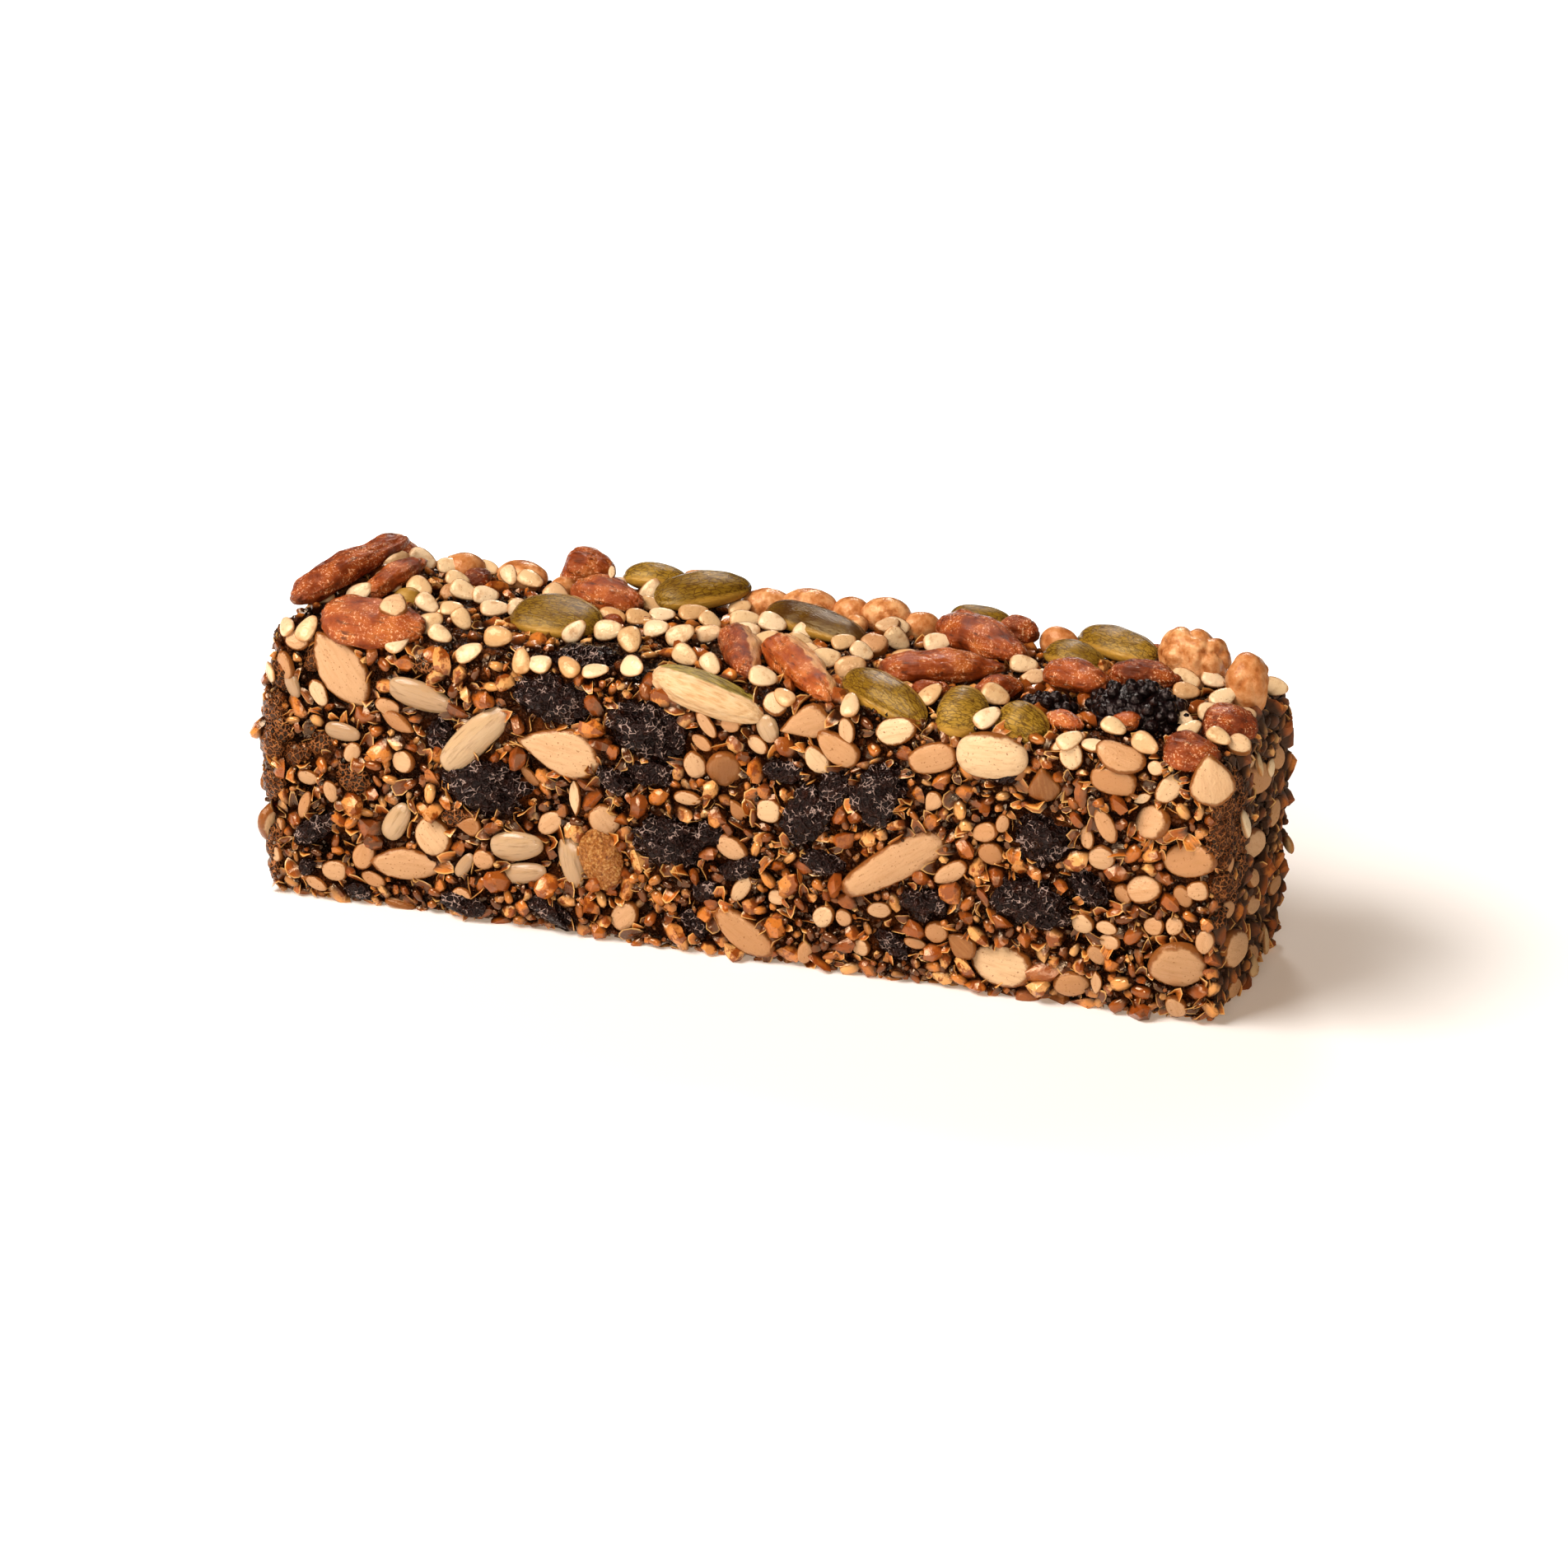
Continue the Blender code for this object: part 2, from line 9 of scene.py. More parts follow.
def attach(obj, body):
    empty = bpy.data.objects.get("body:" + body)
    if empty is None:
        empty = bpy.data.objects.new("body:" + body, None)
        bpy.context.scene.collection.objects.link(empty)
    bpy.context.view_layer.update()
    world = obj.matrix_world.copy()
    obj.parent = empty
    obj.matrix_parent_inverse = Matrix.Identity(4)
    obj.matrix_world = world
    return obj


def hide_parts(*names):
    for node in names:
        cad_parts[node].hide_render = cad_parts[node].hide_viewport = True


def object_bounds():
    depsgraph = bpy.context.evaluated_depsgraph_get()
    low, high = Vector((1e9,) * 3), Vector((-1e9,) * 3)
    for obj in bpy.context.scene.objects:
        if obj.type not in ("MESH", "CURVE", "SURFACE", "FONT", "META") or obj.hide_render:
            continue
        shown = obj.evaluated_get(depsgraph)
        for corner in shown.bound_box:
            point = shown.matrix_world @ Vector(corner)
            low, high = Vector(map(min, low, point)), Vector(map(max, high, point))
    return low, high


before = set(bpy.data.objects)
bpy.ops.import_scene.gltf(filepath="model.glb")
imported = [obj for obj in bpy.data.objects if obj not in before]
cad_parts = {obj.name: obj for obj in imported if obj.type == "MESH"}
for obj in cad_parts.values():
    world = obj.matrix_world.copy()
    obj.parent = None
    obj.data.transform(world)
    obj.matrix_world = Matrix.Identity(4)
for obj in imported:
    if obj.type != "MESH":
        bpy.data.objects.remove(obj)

cadLow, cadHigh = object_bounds()
mm = 0.001
draw = np.random.default_rng(7225)
# Pieces are pressed back to within 2% of the solid's box, and to the level floor
slack = 0.02 * (np.array(cadHigh) - np.array(cadLow)) / mm
lowest = np.array(cadLow) / mm - slack * [1, 1, 0]
highest = np.array(cadHigh) / mm + slack

# The pressed block, the same sizes as the solid's
block = dict(
    length=115.0, width=31.4, height=32.6, edge=2.6, lean=1.8, bulge=2.2,
    crown=0.6, hump=1.6, humpAt=(-51.5, 5.0), humpReach=8.0,
    relief=0.7, reliefSpan=8.0, topCalm=0.7,
)
blockHalf = np.array([block["length"], block["width"], block["height"]]) / 2

# The camera: angles in degrees, its aim shifted across and up from the origin
view = dict(lens=104.0, sensor=36.0, pitch=19.18, yaw=18.55, roll=1.8, distance=535.4, across=1.34, up=15.36)


def cameraAxes():
    # Right, up and back of the camera from its yaw, pitch and roll
    yaw, pitch, roll = (math.radians(view[key]) for key in ("yaw", "pitch", "roll"))
    back = np.array([math.sin(yaw) * math.cos(pitch), -math.cos(yaw) * math.cos(pitch), math.sin(pitch)])
    right = np.cross(-back, [0, 0, 1])
    right /= np.linalg.norm(right)
    up = np.cross(right, -back)
    turned = right * math.cos(roll) + up * math.sin(roll)
    return turned, up * math.cos(roll) - right * math.sin(roll), back


def link(name, data):
    obj = bpy.data.objects.new(name, data)
    bpy.context.scene.collection.objects.link(obj)
    return obj


def makeCamera():
    right, up, back = cameraAxes()
    data = bpy.data.cameras.new("camera")
    data.lens, data.sensor_width, data.clip_start = view["lens"], view["sensor"], 0.01
    camera = link("camera", data)
    place = (back * view["distance"] + right * view["across"] + up * view["up"]) * mm
    camera.matrix_world = Matrix.Translation(Vector(place)) @ Matrix(np.transpose([right, up, back])).to_4x4()
    bpy.context.scene.camera = camera


# Soft studio light: place in millimetres, height and breadth of the panel, power in watts, colour
lights = {
    "keyLight": dict(place=(-500, -500, 800), size=(520, 700), power=16.6, colour=(1.0, 0.92, 0.87)),
    "frontLight": dict(place=(140, -880, 330), size=(200, 200), power=1.7, colour=(1.0, 0.88, 0.78)),
    "sparkleLight": dict(place=(300, -900, 400), size=(70, 70), power=1.7, colour=(1.0, 0.92, 0.84)),
    "backLight": dict(place=(-160, 560, 480), size=(120, 120), power=1.4, colour=(1.0, 0.93, 0.87)),
}
# The floor glows as painted light: dim and warm near the bar as a painted shadow tone, and white from farNear to
# farEnd metres away
stageLook = dict(
    sky=(1.0, 0.86, 0.72), skyStrength=0.07, floorSize=6000, floor=(0.80, 0.82, 0.82),
    nearShadeGlow=(0.23, 0.155, 0.10), glowFar=(0.8, 0.80, 0.785), farNear=0.06, farEnd=0.17,
)


def makeLights():
    for name, spec in lights.items():
        data = bpy.data.lights.new(name, "AREA")
        data.shape = "RECTANGLE"
        data.size_y, data.size = (side * mm for side in spec["size"])
        data.energy, data.color = spec["power"], spec["colour"]
        lamp = link(name, data)
        lamp.location = Vector(spec["place"]) * mm
        aim = Vector((0, 0, block["height"] / 2)) * mm
        lamp.rotation_euler = (lamp.location - aim).to_track_quat("Z", "Y").to_euler()
    world = bpy.context.scene.world = bpy.data.worlds.new("studio")
    world.use_nodes = True
    sky = world.node_tree.nodes["Background"].inputs
    sky["Color"].default_value = (*stageLook["sky"], 1)
    sky["Strength"].default_value = stageLook["skyStrength"]
    bpy.context.scene.view_settings.view_transform = "Standard"


makeCamera()
makeLights()
print("camera and lights are made")


# Shader maths
class Wire:
    # A socket of a material; arithmetic on it adds Math nodes
    def __init__(self, finish, socket):
        self.finish, self.socket = finish, socket

    def __add__(self, other):
        return self.finish.math("ADD", self, other)

    def __sub__(self, other):
        return self.finish.math("SUBTRACT", self, other)

    def __rsub__(self, other):
        return self.finish.math("SUBTRACT", other, self)

    def __mul__(self, other):
        return self.finish.math("MULTIPLY", self, other)

    __radd__, __rmul__ = __add__, __mul__


socketNames = dict(soft="Subsurface Weight", specular="Specular IOR Level", tint="Specular Tint")
warmShine = (1.0, 0.76, 0.5, 1.0)
white = (1.0, 1.0, 1.0, 1.0)
# Near-black syrup colour, also used for the painted shade on the lower parts of pieces
syrupAndShade = (0.03, 0.007, 0.002)
finishes = {}


class Finish:
    # A material of nodes: surface is what is the same all over, colour gathers what is laid over it
    def __init__(self, name, tint=warmShine, **surface):
        self.material = finishes[name] = bpy.data.materials.new(name)
        self.material.use_nodes = True
        self.tree = self.material.node_tree
        self.shader = self.tree.nodes["Principled BSDF"]
        for key, value in dict(surface, tint=tint).items():
            self.shader.inputs[socketNames[key]].default_value = value

    def __getattr__(self, name):
        # A value kept on the piece's own points, such as pick or rim; local is a place, the others are numbers
        out = 1 if name == "local" else 2
        setattr(self, name, self.node("ShaderNodeAttribute", {"attribute_name": name}, None, out))
        return self.__dict__[name]

    def node(self, kind, settings=None, sockets=None, out=0):
        made = self.tree.nodes.new(kind)
        for key, value in (settings or {}).items():
            if key != "stops":
                setattr(made, key, value)
                continue
            marks = made.color_ramp.elements
            while len(marks) < len(value):
                marks.new(0.5)
            for mark, (position, colour) in zip(marks, value):
                mark.position, mark.color = position, (*colour, 1)
        for key, value in (sockets or {}).items():
            self.feed(made.inputs[key], value)
        return Wire(self, made.outputs[out])

    def feed(self, socket, value):
        if isinstance(value, Wire):
            self.tree.links.new(value.socket, socket)
        elif isinstance(value, tuple) and len(value) < len(socket.default_value):
            socket.default_value = (*value, 1)
        else:
            socket.default_value = value

    def math(self, operation, first, second=0.0):
        return self.node("ShaderNodeMath", {"operation": operation}, {0: first, 1: second})

    def vector(self, operation, *sockets, out=0):
        return self.node("ShaderNodeVectorMath", {"operation": operation}, dict(enumerate(sockets)), out)

    def noise(self, vector, scale, detail=3.0, rough=0.55):
        sockets = {"Vector": vector, "Scale": scale, "Detail": detail, "Roughness": rough}
        return self.node("ShaderNodeTexNoise", None, sockets)

    def streaks(self, stretch, scale, detail=4.0, rough=0.55):
        # Noise drawn out along the piece
        return self.noise(self.vector("MULTIPLY", self.local, stretch), scale, detail, rough)

    def cells(self, vector, scale, feature="DISTANCE_TO_EDGE"):
        return self.node("ShaderNodeTexVoronoi", {"feature": feature}, {"Vector": vector, "Scale": scale})

    def ramp(self, factor, *stops):
        # Stops are a place and a colour in turn
        return self.node("ShaderNodeValToRGB", {"stops": list(zip(stops[::2], stops[1::2]))}, {0: factor})

    def fade(self, value, low, high):
        # 0 below low and 1 above high, smooth between
        sockets = {"Value": value, "From Min": low, "From Max": high}
        return self.node("ShaderNodeMapRange", {"interpolation_type": "SMOOTHSTEP"}, sockets)

    def blend(self, factor, under, over):
        return self.node("ShaderNodeMix", {"data_type": "RGBA"}, {0: factor, 6: under, 7: over}, 2)

    def lay(self, top, mask, low, high, share=1):
        # The colour top over the rest, where the mask rises from low to high
        mask = self.fade(mask, low, high)
        self.colour = self.blend(mask if share == 1 else mask * share, self.colour, top)

    def sinkInSyrupAndShade(self, low=-0.15, high=0.62):
        # Partly dark syrup, partly painted shade: the colour darkens to near-black over what lies lower than the
        # block's surface, height in millimetres
        self.colour = self.blend(self.fade(self.height, low, high), syrupAndShade, self.colour)

    def paint(self, rough, bump, depth=0.0001):
        # depth is the bump's height in metres for a change of 1; the dry right end shines less
        self.feed(self.shader.inputs["Base Color"], self.colour)
        self.feed(self.shader.inputs["Roughness"], self.dry * 0.8 + rough)
        normal = self.node("ShaderNodeBump", None, {"Strength": 1.0, "Distance": depth, "Height": bump})
        self.feed(self.shader.inputs["Normal"], normal)


# Near-black sticky syrup and crumb that everything sits in
f = Finish("stickyMix", specular=0.2)
place = f.node("ShaderNodeTexCoord", None, None, 3)
fine = f.noise(place, 3200.0)
f.colour = f.ramp(
    f.noise(place, 260.0, 4.0), 0.32, (0.005, 0.002, 0.001), 0.5, (0.024, 0.006, 0.002),
    0.72, (0.14, 0.033, 0.006),
)
f.lay((0.22, 0.07, 0.014), fine, 0.6, 0.74)
f.paint(f.ramp(fine, 0.3, (0.1,) * 3, 0.7, (0.3,) * 3), fine * 0.5 - f.cells(place, 1900.0, "F1"), 0.0009)

# Cream sesame with faint brown blotches, toasted at its tips
f = Finish("sesameCoat", soft=0.05, specular=0.5)
blotch = f.noise(f.local, 0.9)
f.colour = f.ramp(
    f.pick, 0.0, (0.58, 0.32, 0.13), 0.3, (0.73, 0.49, 0.25), 0.8, (0.82, 0.60, 0.36), 1.0, (0.56, 0.28, 0.10),
)
f.lay((0.40, 0.16, 0.042), blotch, 0.52, 0.75, 0.6)
f.lay((0.42, 0.155, 0.035), f.math("ABSOLUTE", f.along), 0.72, 0.98, 0.8)
# Darker outline round each seed: partly a toasted edge, partly painted shade at the edges
f.lay((0.34, 0.12, 0.028), f.rim, 0.8, 0.99, 0.85)
f.lay((0.24, 0.08, 0.018), f.noise(f.local, 4.5, 2.0), 0.65, 0.72, 0.7)
f.sinkInSyrupAndShade(-0.4, 0.3)
f.paint(0.16 + blotch * 0.16, f.noise(f.local, 1.6, 2.0))

# Whole small seeds, toasted tan to orange-brown
f = Finish("toastedCoat", specular=0.85)
streak = f.streaks((0.35, 1.6, 1.6), 1.6)
f.colour = f.ramp(
    f.pick, 0.0, (0.09, 0.018, 0.003), 0.25, (0.30, 0.068, 0.008), 0.5, (0.50, 0.134, 0.015),
    0.75, (0.66, 0.235, 0.040), 1.0, (0.76, 0.385, 0.125),
)
f.lay((0.17, 0.05, 0.009), streak, 0.5, 0.7, 0.7)
f.lay((0.12, 0.034, 0.007), f.math("ABSOLUTE", f.along), 0.65, 1.0, 0.7)
f.sinkInSyrupAndShade()
f.paint(0.05 + streak * 0.14, streak, 0.00005)

# Chopped bits: amber to tan inside, toasted skin on some of their faces
f = Finish("choppedNut", specular=0.9)
pores = f.noise(f.local, 3.0, 4.0)
f.colour = f.ramp(
    f.pick, 0.0, (0.09, 0.018, 0.003), 0.3, (0.33, 0.077, 0.008), 0.65, (0.56, 0.168, 0.022),
    1.0, (0.76, 0.39, 0.125),
)
f.lay((0.25, 0.052, 0.006), f.noise(f.local, 0.62, 4.0), 0.48, 0.56)
f.lay((0.14, 0.04, 0.008), pores, 0.56, 0.7, 0.7)
f.sinkInSyrupAndShade()
f.paint(0.05 + pores * 0.18, pores, 0.00006)

# Thin husk flakes, their edges painted lighter as a painted highlight
f = Finish("huskFlake", specular=0.9)
fibre = f.streaks((0.4, 3.0, 1.0), 2.0, 3.0)
f.colour = f.ramp(
    f.pick, 0.0, (0.06, 0.011, 0.002), 0.35, (0.21, 0.043, 0.005), 0.7, (0.46, 0.107, 0.011),
    1.0, (0.68, 0.23, 0.036),
)
f.lay((0.09, 0.024, 0.005), fibre, 0.48, 0.68, 0.7)
# Painted highlight along the edges
f.lay((0.90, 0.50, 0.15), f.rim, 0.78, 1.0, 0.8)
f.sinkInSyrupAndShade(-0.4, 0.3)
f.paint(0.06 + fibre * 0.16, fibre, 0.00006)

# Crumbs from black to orange
f = Finish("crumbMix", specular=0.6)
tint = f.noise(f.local, 2.0)
f.colour = f.ramp(
    f.pick, 0.0, (0.006, 0.002, 0.001), 0.35, (0.05, 0.013, 0.003), 0.6, (0.24, 0.056, 0.008),
    0.85, (0.56, 0.175, 0.028), 1.0, (0.78, 0.42, 0.14),
)
f.lay((0.06, 0.016, 0.004), tint, 0.5, 0.8, 0.6)
f.sinkInSyrupAndShade(-0.5, 0.3)
f.paint(0.12, tint)

# Black glossy beads of syrup and seed
f = Finish("blackBead", specular=0.4)
f.colour = f.ramp(f.pick, 0.0, (0.003, 0.001, 0.001), 0.6, (0.009, 0.003, 0.002), 1.0, (0.06, 0.018, 0.006))
f.paint(0.12, f.noise(f.local, 3.0, 2.0))

# Raisins: purple-black skin under a net of glossy wrinkles, the net's ridges painted a little lighter as a painted
# sheen and its finest lines flecked with painted glints
f = Finish("raisinSkin", (1.0, 0.75, 0.68, 1.0), specular=0.2)
warp = f.noise(f.local, 0.8)
net = f.cells(f.vector("MULTIPLY_ADD", warp, (1.6, 1.6, 1.6), f.local), 1.25)
ridge = 1 - f.fade(net, 0.0, 0.26)
f.colour = f.ramp(warp, 0.3, (0.001, 0.0005, 0.0005), 0.55, (0.004, 0.0015, 0.001), 0.8, (0.045, 0.010, 0.003))
# Ridges a little lighter: painted sheen
f.colour = f.blend(ridge * 0.5, f.colour, (0.022, 0.008, 0.006))
# Painted glints: pale flecks along the net's finest lines, in patches
paintedGlints = (1 - f.fade(net, 0.0, 0.08)) * f.fade(f.noise(f.local, 0.7), 0.51, 0.58)
f.colour = f.blend(paintedGlints * 0.7, f.colour, (0.56, 0.39, 0.32))
f.paint(0.04 + warp * 0.12, ridge * 0.5 + warp, 0.0005)

# Cut faces of nuts: peach-beige with fibres and pits, and a toasted skin at the rim
f = Finish("cutFace", soft=0.04, specular=0.5)
fibre, pits = f.streaks((0.25, 1.8, 1.8), 1.3, 4.0, 0.6), f.noise(f.local, 3.4)
f.colour = f.ramp(
    f.pick, 0.0, (0.18, 0.053, 0.012), 0.25, (0.37, 0.148, 0.049), 0.5, (0.52, 0.258, 0.112),
    0.7, (0.59, 0.335, 0.168), 0.85, (0.64, 0.395, 0.207), 1.0, (0.71, 0.485, 0.27),
)
f.lay((0.40, 0.18, 0.06), fibre, 0.42, 0.75, 0.4)
f.lay((0.22, 0.075, 0.018), pits, 0.62, 0.7, 0.8)
f.lay((0.22, 0.066, 0.012), f.rim + (f.noise(f.local, 0.8) - 0.5) * 0.28, 0.82, 0.94)
f.sinkInSyrupAndShade(-1.0, -0.35)
f.paint(0.24 - f.rim * 0.08, fibre * 0.6 + pits * 0.8)

# Grey-beige seeds with a glassy skin
f = Finish("glassySeed", white, soft=0.12, specular=0.45)
fibre = f.streaks((0.3, 2.0, 2.0), 1.3)
f.colour = f.ramp(f.pick, 0.0, (0.42, 0.23, 0.11), 1.0, (0.58, 0.36, 0.19))
f.lay((0.22, 0.105, 0.038), fibre, 0.5, 0.75, 0.6)
f.sinkInSyrupAndShade(-1.0, -0.35)
f.paint(0.12, fibre)

# Dark porous crust at the ends
f = Finish("porousCrust", specular=0.3)
warp = f.noise(f.local, 0.9)
bent = f.vector("MULTIPLY_ADD", warp, (1.2, 1.2, 1.2), f.local)
web = 1 - f.fade(f.cells(bent, 1.6), 0.04, 0.2)
f.colour = f.ramp(f.pick, 0.0, (0.010, 0.003, 0.001), 1.0, (0.05, 0.014, 0.004))
f.colour = f.blend(web, f.colour, f.ramp(warp, 0.35, (0.13, 0.032, 0.007), 0.65, (0.42, 0.15, 0.045)))
f.paint(0.16, web, 0.0005)

# Amber piece with white-hot pores
f = Finish("amberCandy", specular=0.5, soft=0.08)
pores = f.noise(f.local, 2.6, 4.0, 0.65)
f.colour = f.ramp(pores, 0.3, (0.12, 0.025, 0.004), 0.5, (0.40, 0.12, 0.018), 0.7, (0.72, 0.38, 0.12))
f.paint(0.2, pores, 0.0006)

# Almond skins: brick red-brown, wrinkled along their length, dusted with pale specks under a glaze, the specks
# partly sugar and partly painted glints, with painted shade in the wrinkles
f = Finish("almondSkin", (1.0, 0.62, 0.42, 1.0), specular=0.42)
broad, dustAndGlint = f.noise(f.local, 0.42, 4.0), f.noise(f.local, 3.4, 4.0, 0.75)
wrinkle = f.streaks((0.3, 1.3, 1.3), 1.5, 5.0, 0.62)
f.colour = f.ramp(
    f.pick + (broad - 0.5) * 2.2, 0.0, (0.09, 0.012, 0.002), 0.35, (0.22, 0.034, 0.005),
    0.65, (0.34, 0.064, 0.009), 1.0, (0.50, 0.135, 0.026),
)
# Painted shade: darker in the wrinkles' valleys
f.colour = f.blend((1 - f.fade(wrinkle, 0.32, 0.45)) * 0.85, f.colour, (0.055, 0.010, 0.003))
# Pale specks: partly sugar dust, partly painted glints
dustAndGlintSpecks = f.fade(dustAndGlint, 0.56, 0.61) * f.fade(broad, 0.42, 0.56)
f.colour = f.blend(dustAndGlintSpecks * 0.8, f.colour, (1.0, 0.56, 0.28))
f.lay((0.10, 0.03, 0.010), f.math("ABSOLUTE", f.along), 0.88, 1.0, 0.5)
# The pale inside, where a piece is peeled
flesh = f.ramp(wrinkle, 0.35, (0.52, 0.19, 0.05), 0.6, (0.80, 0.44, 0.18))
f.lay(flesh, f.across + (broad - 0.5) * 1.2, 0.1, 0.25, f.peel)
f.paint(0.04 + broad * 0.12, wrinkle + dustAndGlint * 0.3, 0.0003)

# Pumpkin seeds: olive, brown dashes along the seed, lighter yellow rim
f = Finish("pumpkinSkin", (1.0, 0.8, 0.4, 1.0), specular=0.38)
broad, dashes = f.noise(f.local, 0.3), f.streaks((0.45, 2.2, 1.2), 2.2, 5.0, 0.6)
f.colour = f.ramp(
    f.pick + (broad - 0.5) * 0.8, 0.0, (0.06, 0.021, 0.003), 0.25, (0.16, 0.078, 0.006),
    0.6, (0.25, 0.132, 0.010), 1.0, (0.36, 0.200, 0.022),
)
f.lay((0.075, 0.030, 0.004), dashes, 0.5, 0.56, 0.7)
net = f.cells(f.vector("MULTIPLY", f.local, (0.6, 1.5, 1.2)), 1.5)
f.colour = f.blend((1 - f.fade(net, 0.02, 0.08)) * 0.75, f.colour, (0.06, 0.022, 0.003))
f.lay((0.46, 0.235, 0.034), f.rim + (broad - 0.5) * 0.2, 0.8, 0.98, 0.7)
f.paint(0.15, dashes)

# Split seeds: cream inside, olive skin along the upper edge
f = Finish("splitSeed", soft=0.05, specular=0.35)
fibre = f.streaks((0.3, 2.0, 2.0), 1.6)
f.colour = f.ramp(fibre, 0.35, (0.56, 0.31, 0.13), 0.5, (0.68, 0.42, 0.21), 0.7, (0.74, 0.50, 0.28))
skin = f.ramp(fibre, 0.35, (0.12, 0.075, 0.010), 0.6, (0.36, 0.25, 0.04))
f.lay(skin, f.across + (f.noise(f.local, 0.7) - 0.5) * 0.3, 0.42, 0.56)
f.paint(0.26, fibre, 0.0003)

# Dried fruit: black beads with a wet shine
f = Finish("darkFruit", (1.0, 0.8, 0.72, 1.0), specular=0.3)
f.colour = f.ramp(
    f.noise(f.local, 0.7), 0.35, (0.002, 0.001, 0.001), 0.6, (0.006, 0.002, 0.002), 0.8, (0.03, 0.008, 0.003),
)
f.paint(0.11, f.noise(f.local, 2.5), 0.0002)

# Walnut and round tan nuts: peach-brown, darker creases
f = Finish("walnutFlesh", specular=0.35, soft=0.04)
crease = f.noise(f.local, 0.75, 5.0, 0.6)
f.colour = f.ramp(crease, 0.32, (0.22, 0.054, 0.010), 0.47, (0.54, 0.205, 0.062), 0.64, (0.80, 0.42, 0.18))
f.colour = f.blend(f.pick * 0.6, f.colour, (0.42, 0.13, 0.030))
f.paint(0.2, crease, 0.0002)

# Floor: pale, with a painted glow, dim and warm near the bar as a painted shadow tone and white farther out
f = Finish("paleFloor", white, specular=0.0)
place = f.node("ShaderNodeTexCoord", None, None, 3)
apart = f.fade(f.vector("LENGTH", place, out=1), stageLook["farNear"], stageLook["farEnd"])
f.feed(f.shader.inputs["Emission Color"], f.blend(apart, stageLook["nearShadeGlow"], stageLook["glowFar"]))
f.feed(f.shader.inputs["Emission Strength"], 1.0)
f.feed(f.shader.inputs["Base Color"], f.blend(f.noise(place, 3.0) * 0.02, stageLook["floor"], (0.78, 0.79, 0.79)))
f.feed(f.shader.inputs["Roughness"], f.dry * 0.8 + (f.dry + 0.9))
print("finishes are made")


# Repeatable noise on arrays of points
def cornerValue(cell, seed):
    # A random number from 0 to 1 for each whole-number corner
    mixed = cell.astype(np.int64) @ np.array([73856093, 19349663, 83492791]) + seed * 97531
    mixed = (mixed ^ (mixed >> 13)) * 1274126177
    mixed = (mixed ^ (mixed >> 16)) * 668265263
    return ((mixed ^ (mixed >> 15)) & 0xFFFFFF) / 0xFFFFFF


def smoothNoise(points, seed=0):
    # From -1 to 1: the corner values of a unit lattice, blended by 3t^2 - 2t^3 along each axis
    base = np.floor(points)
    part = points - base
    blend = part * part * (3 - 2 * part)
    total = np.zeros(points.shape[:-1])
    for corner in np.ndindex(2, 2, 2):
        share = np.prod(np.where(corner, blend, 1 - blend), axis=-1)
        total += share * cornerValue(base + corner, seed)
    return 2 * total - 1


def beadBumps(points, seed=0):
    # Distance to the nearest of the jittered middles of a unit lattice
    base = np.floor(points)
    nearest = np.full(points.shape[:-1], 9.0)
    for corner in np.ndindex(3, 3, 3):
        cell = base + corner - 1
        jitter = np.stack([cornerValue(cell, seed + i) for i in range(3)], axis=-1)
        nearest = np.minimum(nearest, np.linalg.norm(cell + 0.15 + 0.7 * jitter - points, axis=-1))
    return nearest


# The block's surface
def leanAt(x, z):
    return -block["lean"] * (x / blockHalf[0]) * ((z - blockHalf[2]) / blockHalf[2])


def topRise(x, y):
    crown = block["crown"] * np.maximum(0, 1 - (y / blockHalf[1]) ** 2)
    away = np.hypot(x - block["humpAt"][0], y - block["humpAt"][1]) / block["humpReach"]
    return crown + block["hump"] * np.exp(-away * away)


def blockSurface(spots):
    # Spots on the plain box, -1 to 1 along each axis, moved to the rounded block: place and outward direction
    local = spots * blockHalf
    inner = np.clip(local, block["edge"] - blockHalf, blockHalf - block["edge"])
    away = local - inner
    away /= np.linalg.norm(away, axis=-1, keepdims=True)
    place = inner + away * block["edge"] + [0, 0, blockHalf[2]]
    facing = np.maximum(0, away[..., 2])
    grow = block["relief"] * (1 - block["topCalm"] * facing)
    grow *= smoothNoise(spots * blockHalf * 2 / block["reliefSpan"], 3)
    grow = np.where(away[..., 2] < -0.9, 0, grow)
    place += away * grow[..., None]
    lowDown = np.sin(np.pi * np.clip(place[..., 2] / (1.1 * block["height"]), 0, 1))
    place[..., 0] -= block["bulge"] * lowDown * np.maximum(0, -away[..., 0])
    place[..., 2] += topRise(place[..., 0], place[..., 1]) * facing
    place[..., 1] += leanAt(place[..., 0], place[..., 2])
    return place, away


def heightAbove(points):
    # Distance outside the rounded block, |max(q, 0)| + min(max q, 0) - edge with q from its inner box,
    # less the relief
    x, y, z = points[..., 0], points[..., 1], points[..., 2]
    local = np.stack([x, y - leanAt(x, z), z - blockHalf[2]], -1)
    beyond = np.abs(local) - (blockHalf - block["edge"])
    level = np.clip(z / (1.1 * block["height"]), 0, 1)
    beyond[..., 0] -= np.where(x < 0, block["bulge"] * np.sin(np.pi * level), 0)
    beyond[..., 2] -= np.where(local[..., 2] > 0, topRise(x, y), 0)
    far = np.linalg.norm(np.maximum(beyond, 0), axis=-1) + np.minimum(beyond.max(-1), 0) - block["edge"]
    spots = np.clip(local, -blockHalf, blockHalf)
    calm = 1 - block["topCalm"] * (np.argmax(beyond, -1) == 2)
    # The right end counts as lower, so that the painted shade darkens it more
    far = far - 0.35 * (np.argmax(beyond, -1) == 0) * (x > 0)
    return far - block["relief"] * calm * smoothNoise(spots * 2 / block["reliefSpan"], 3)


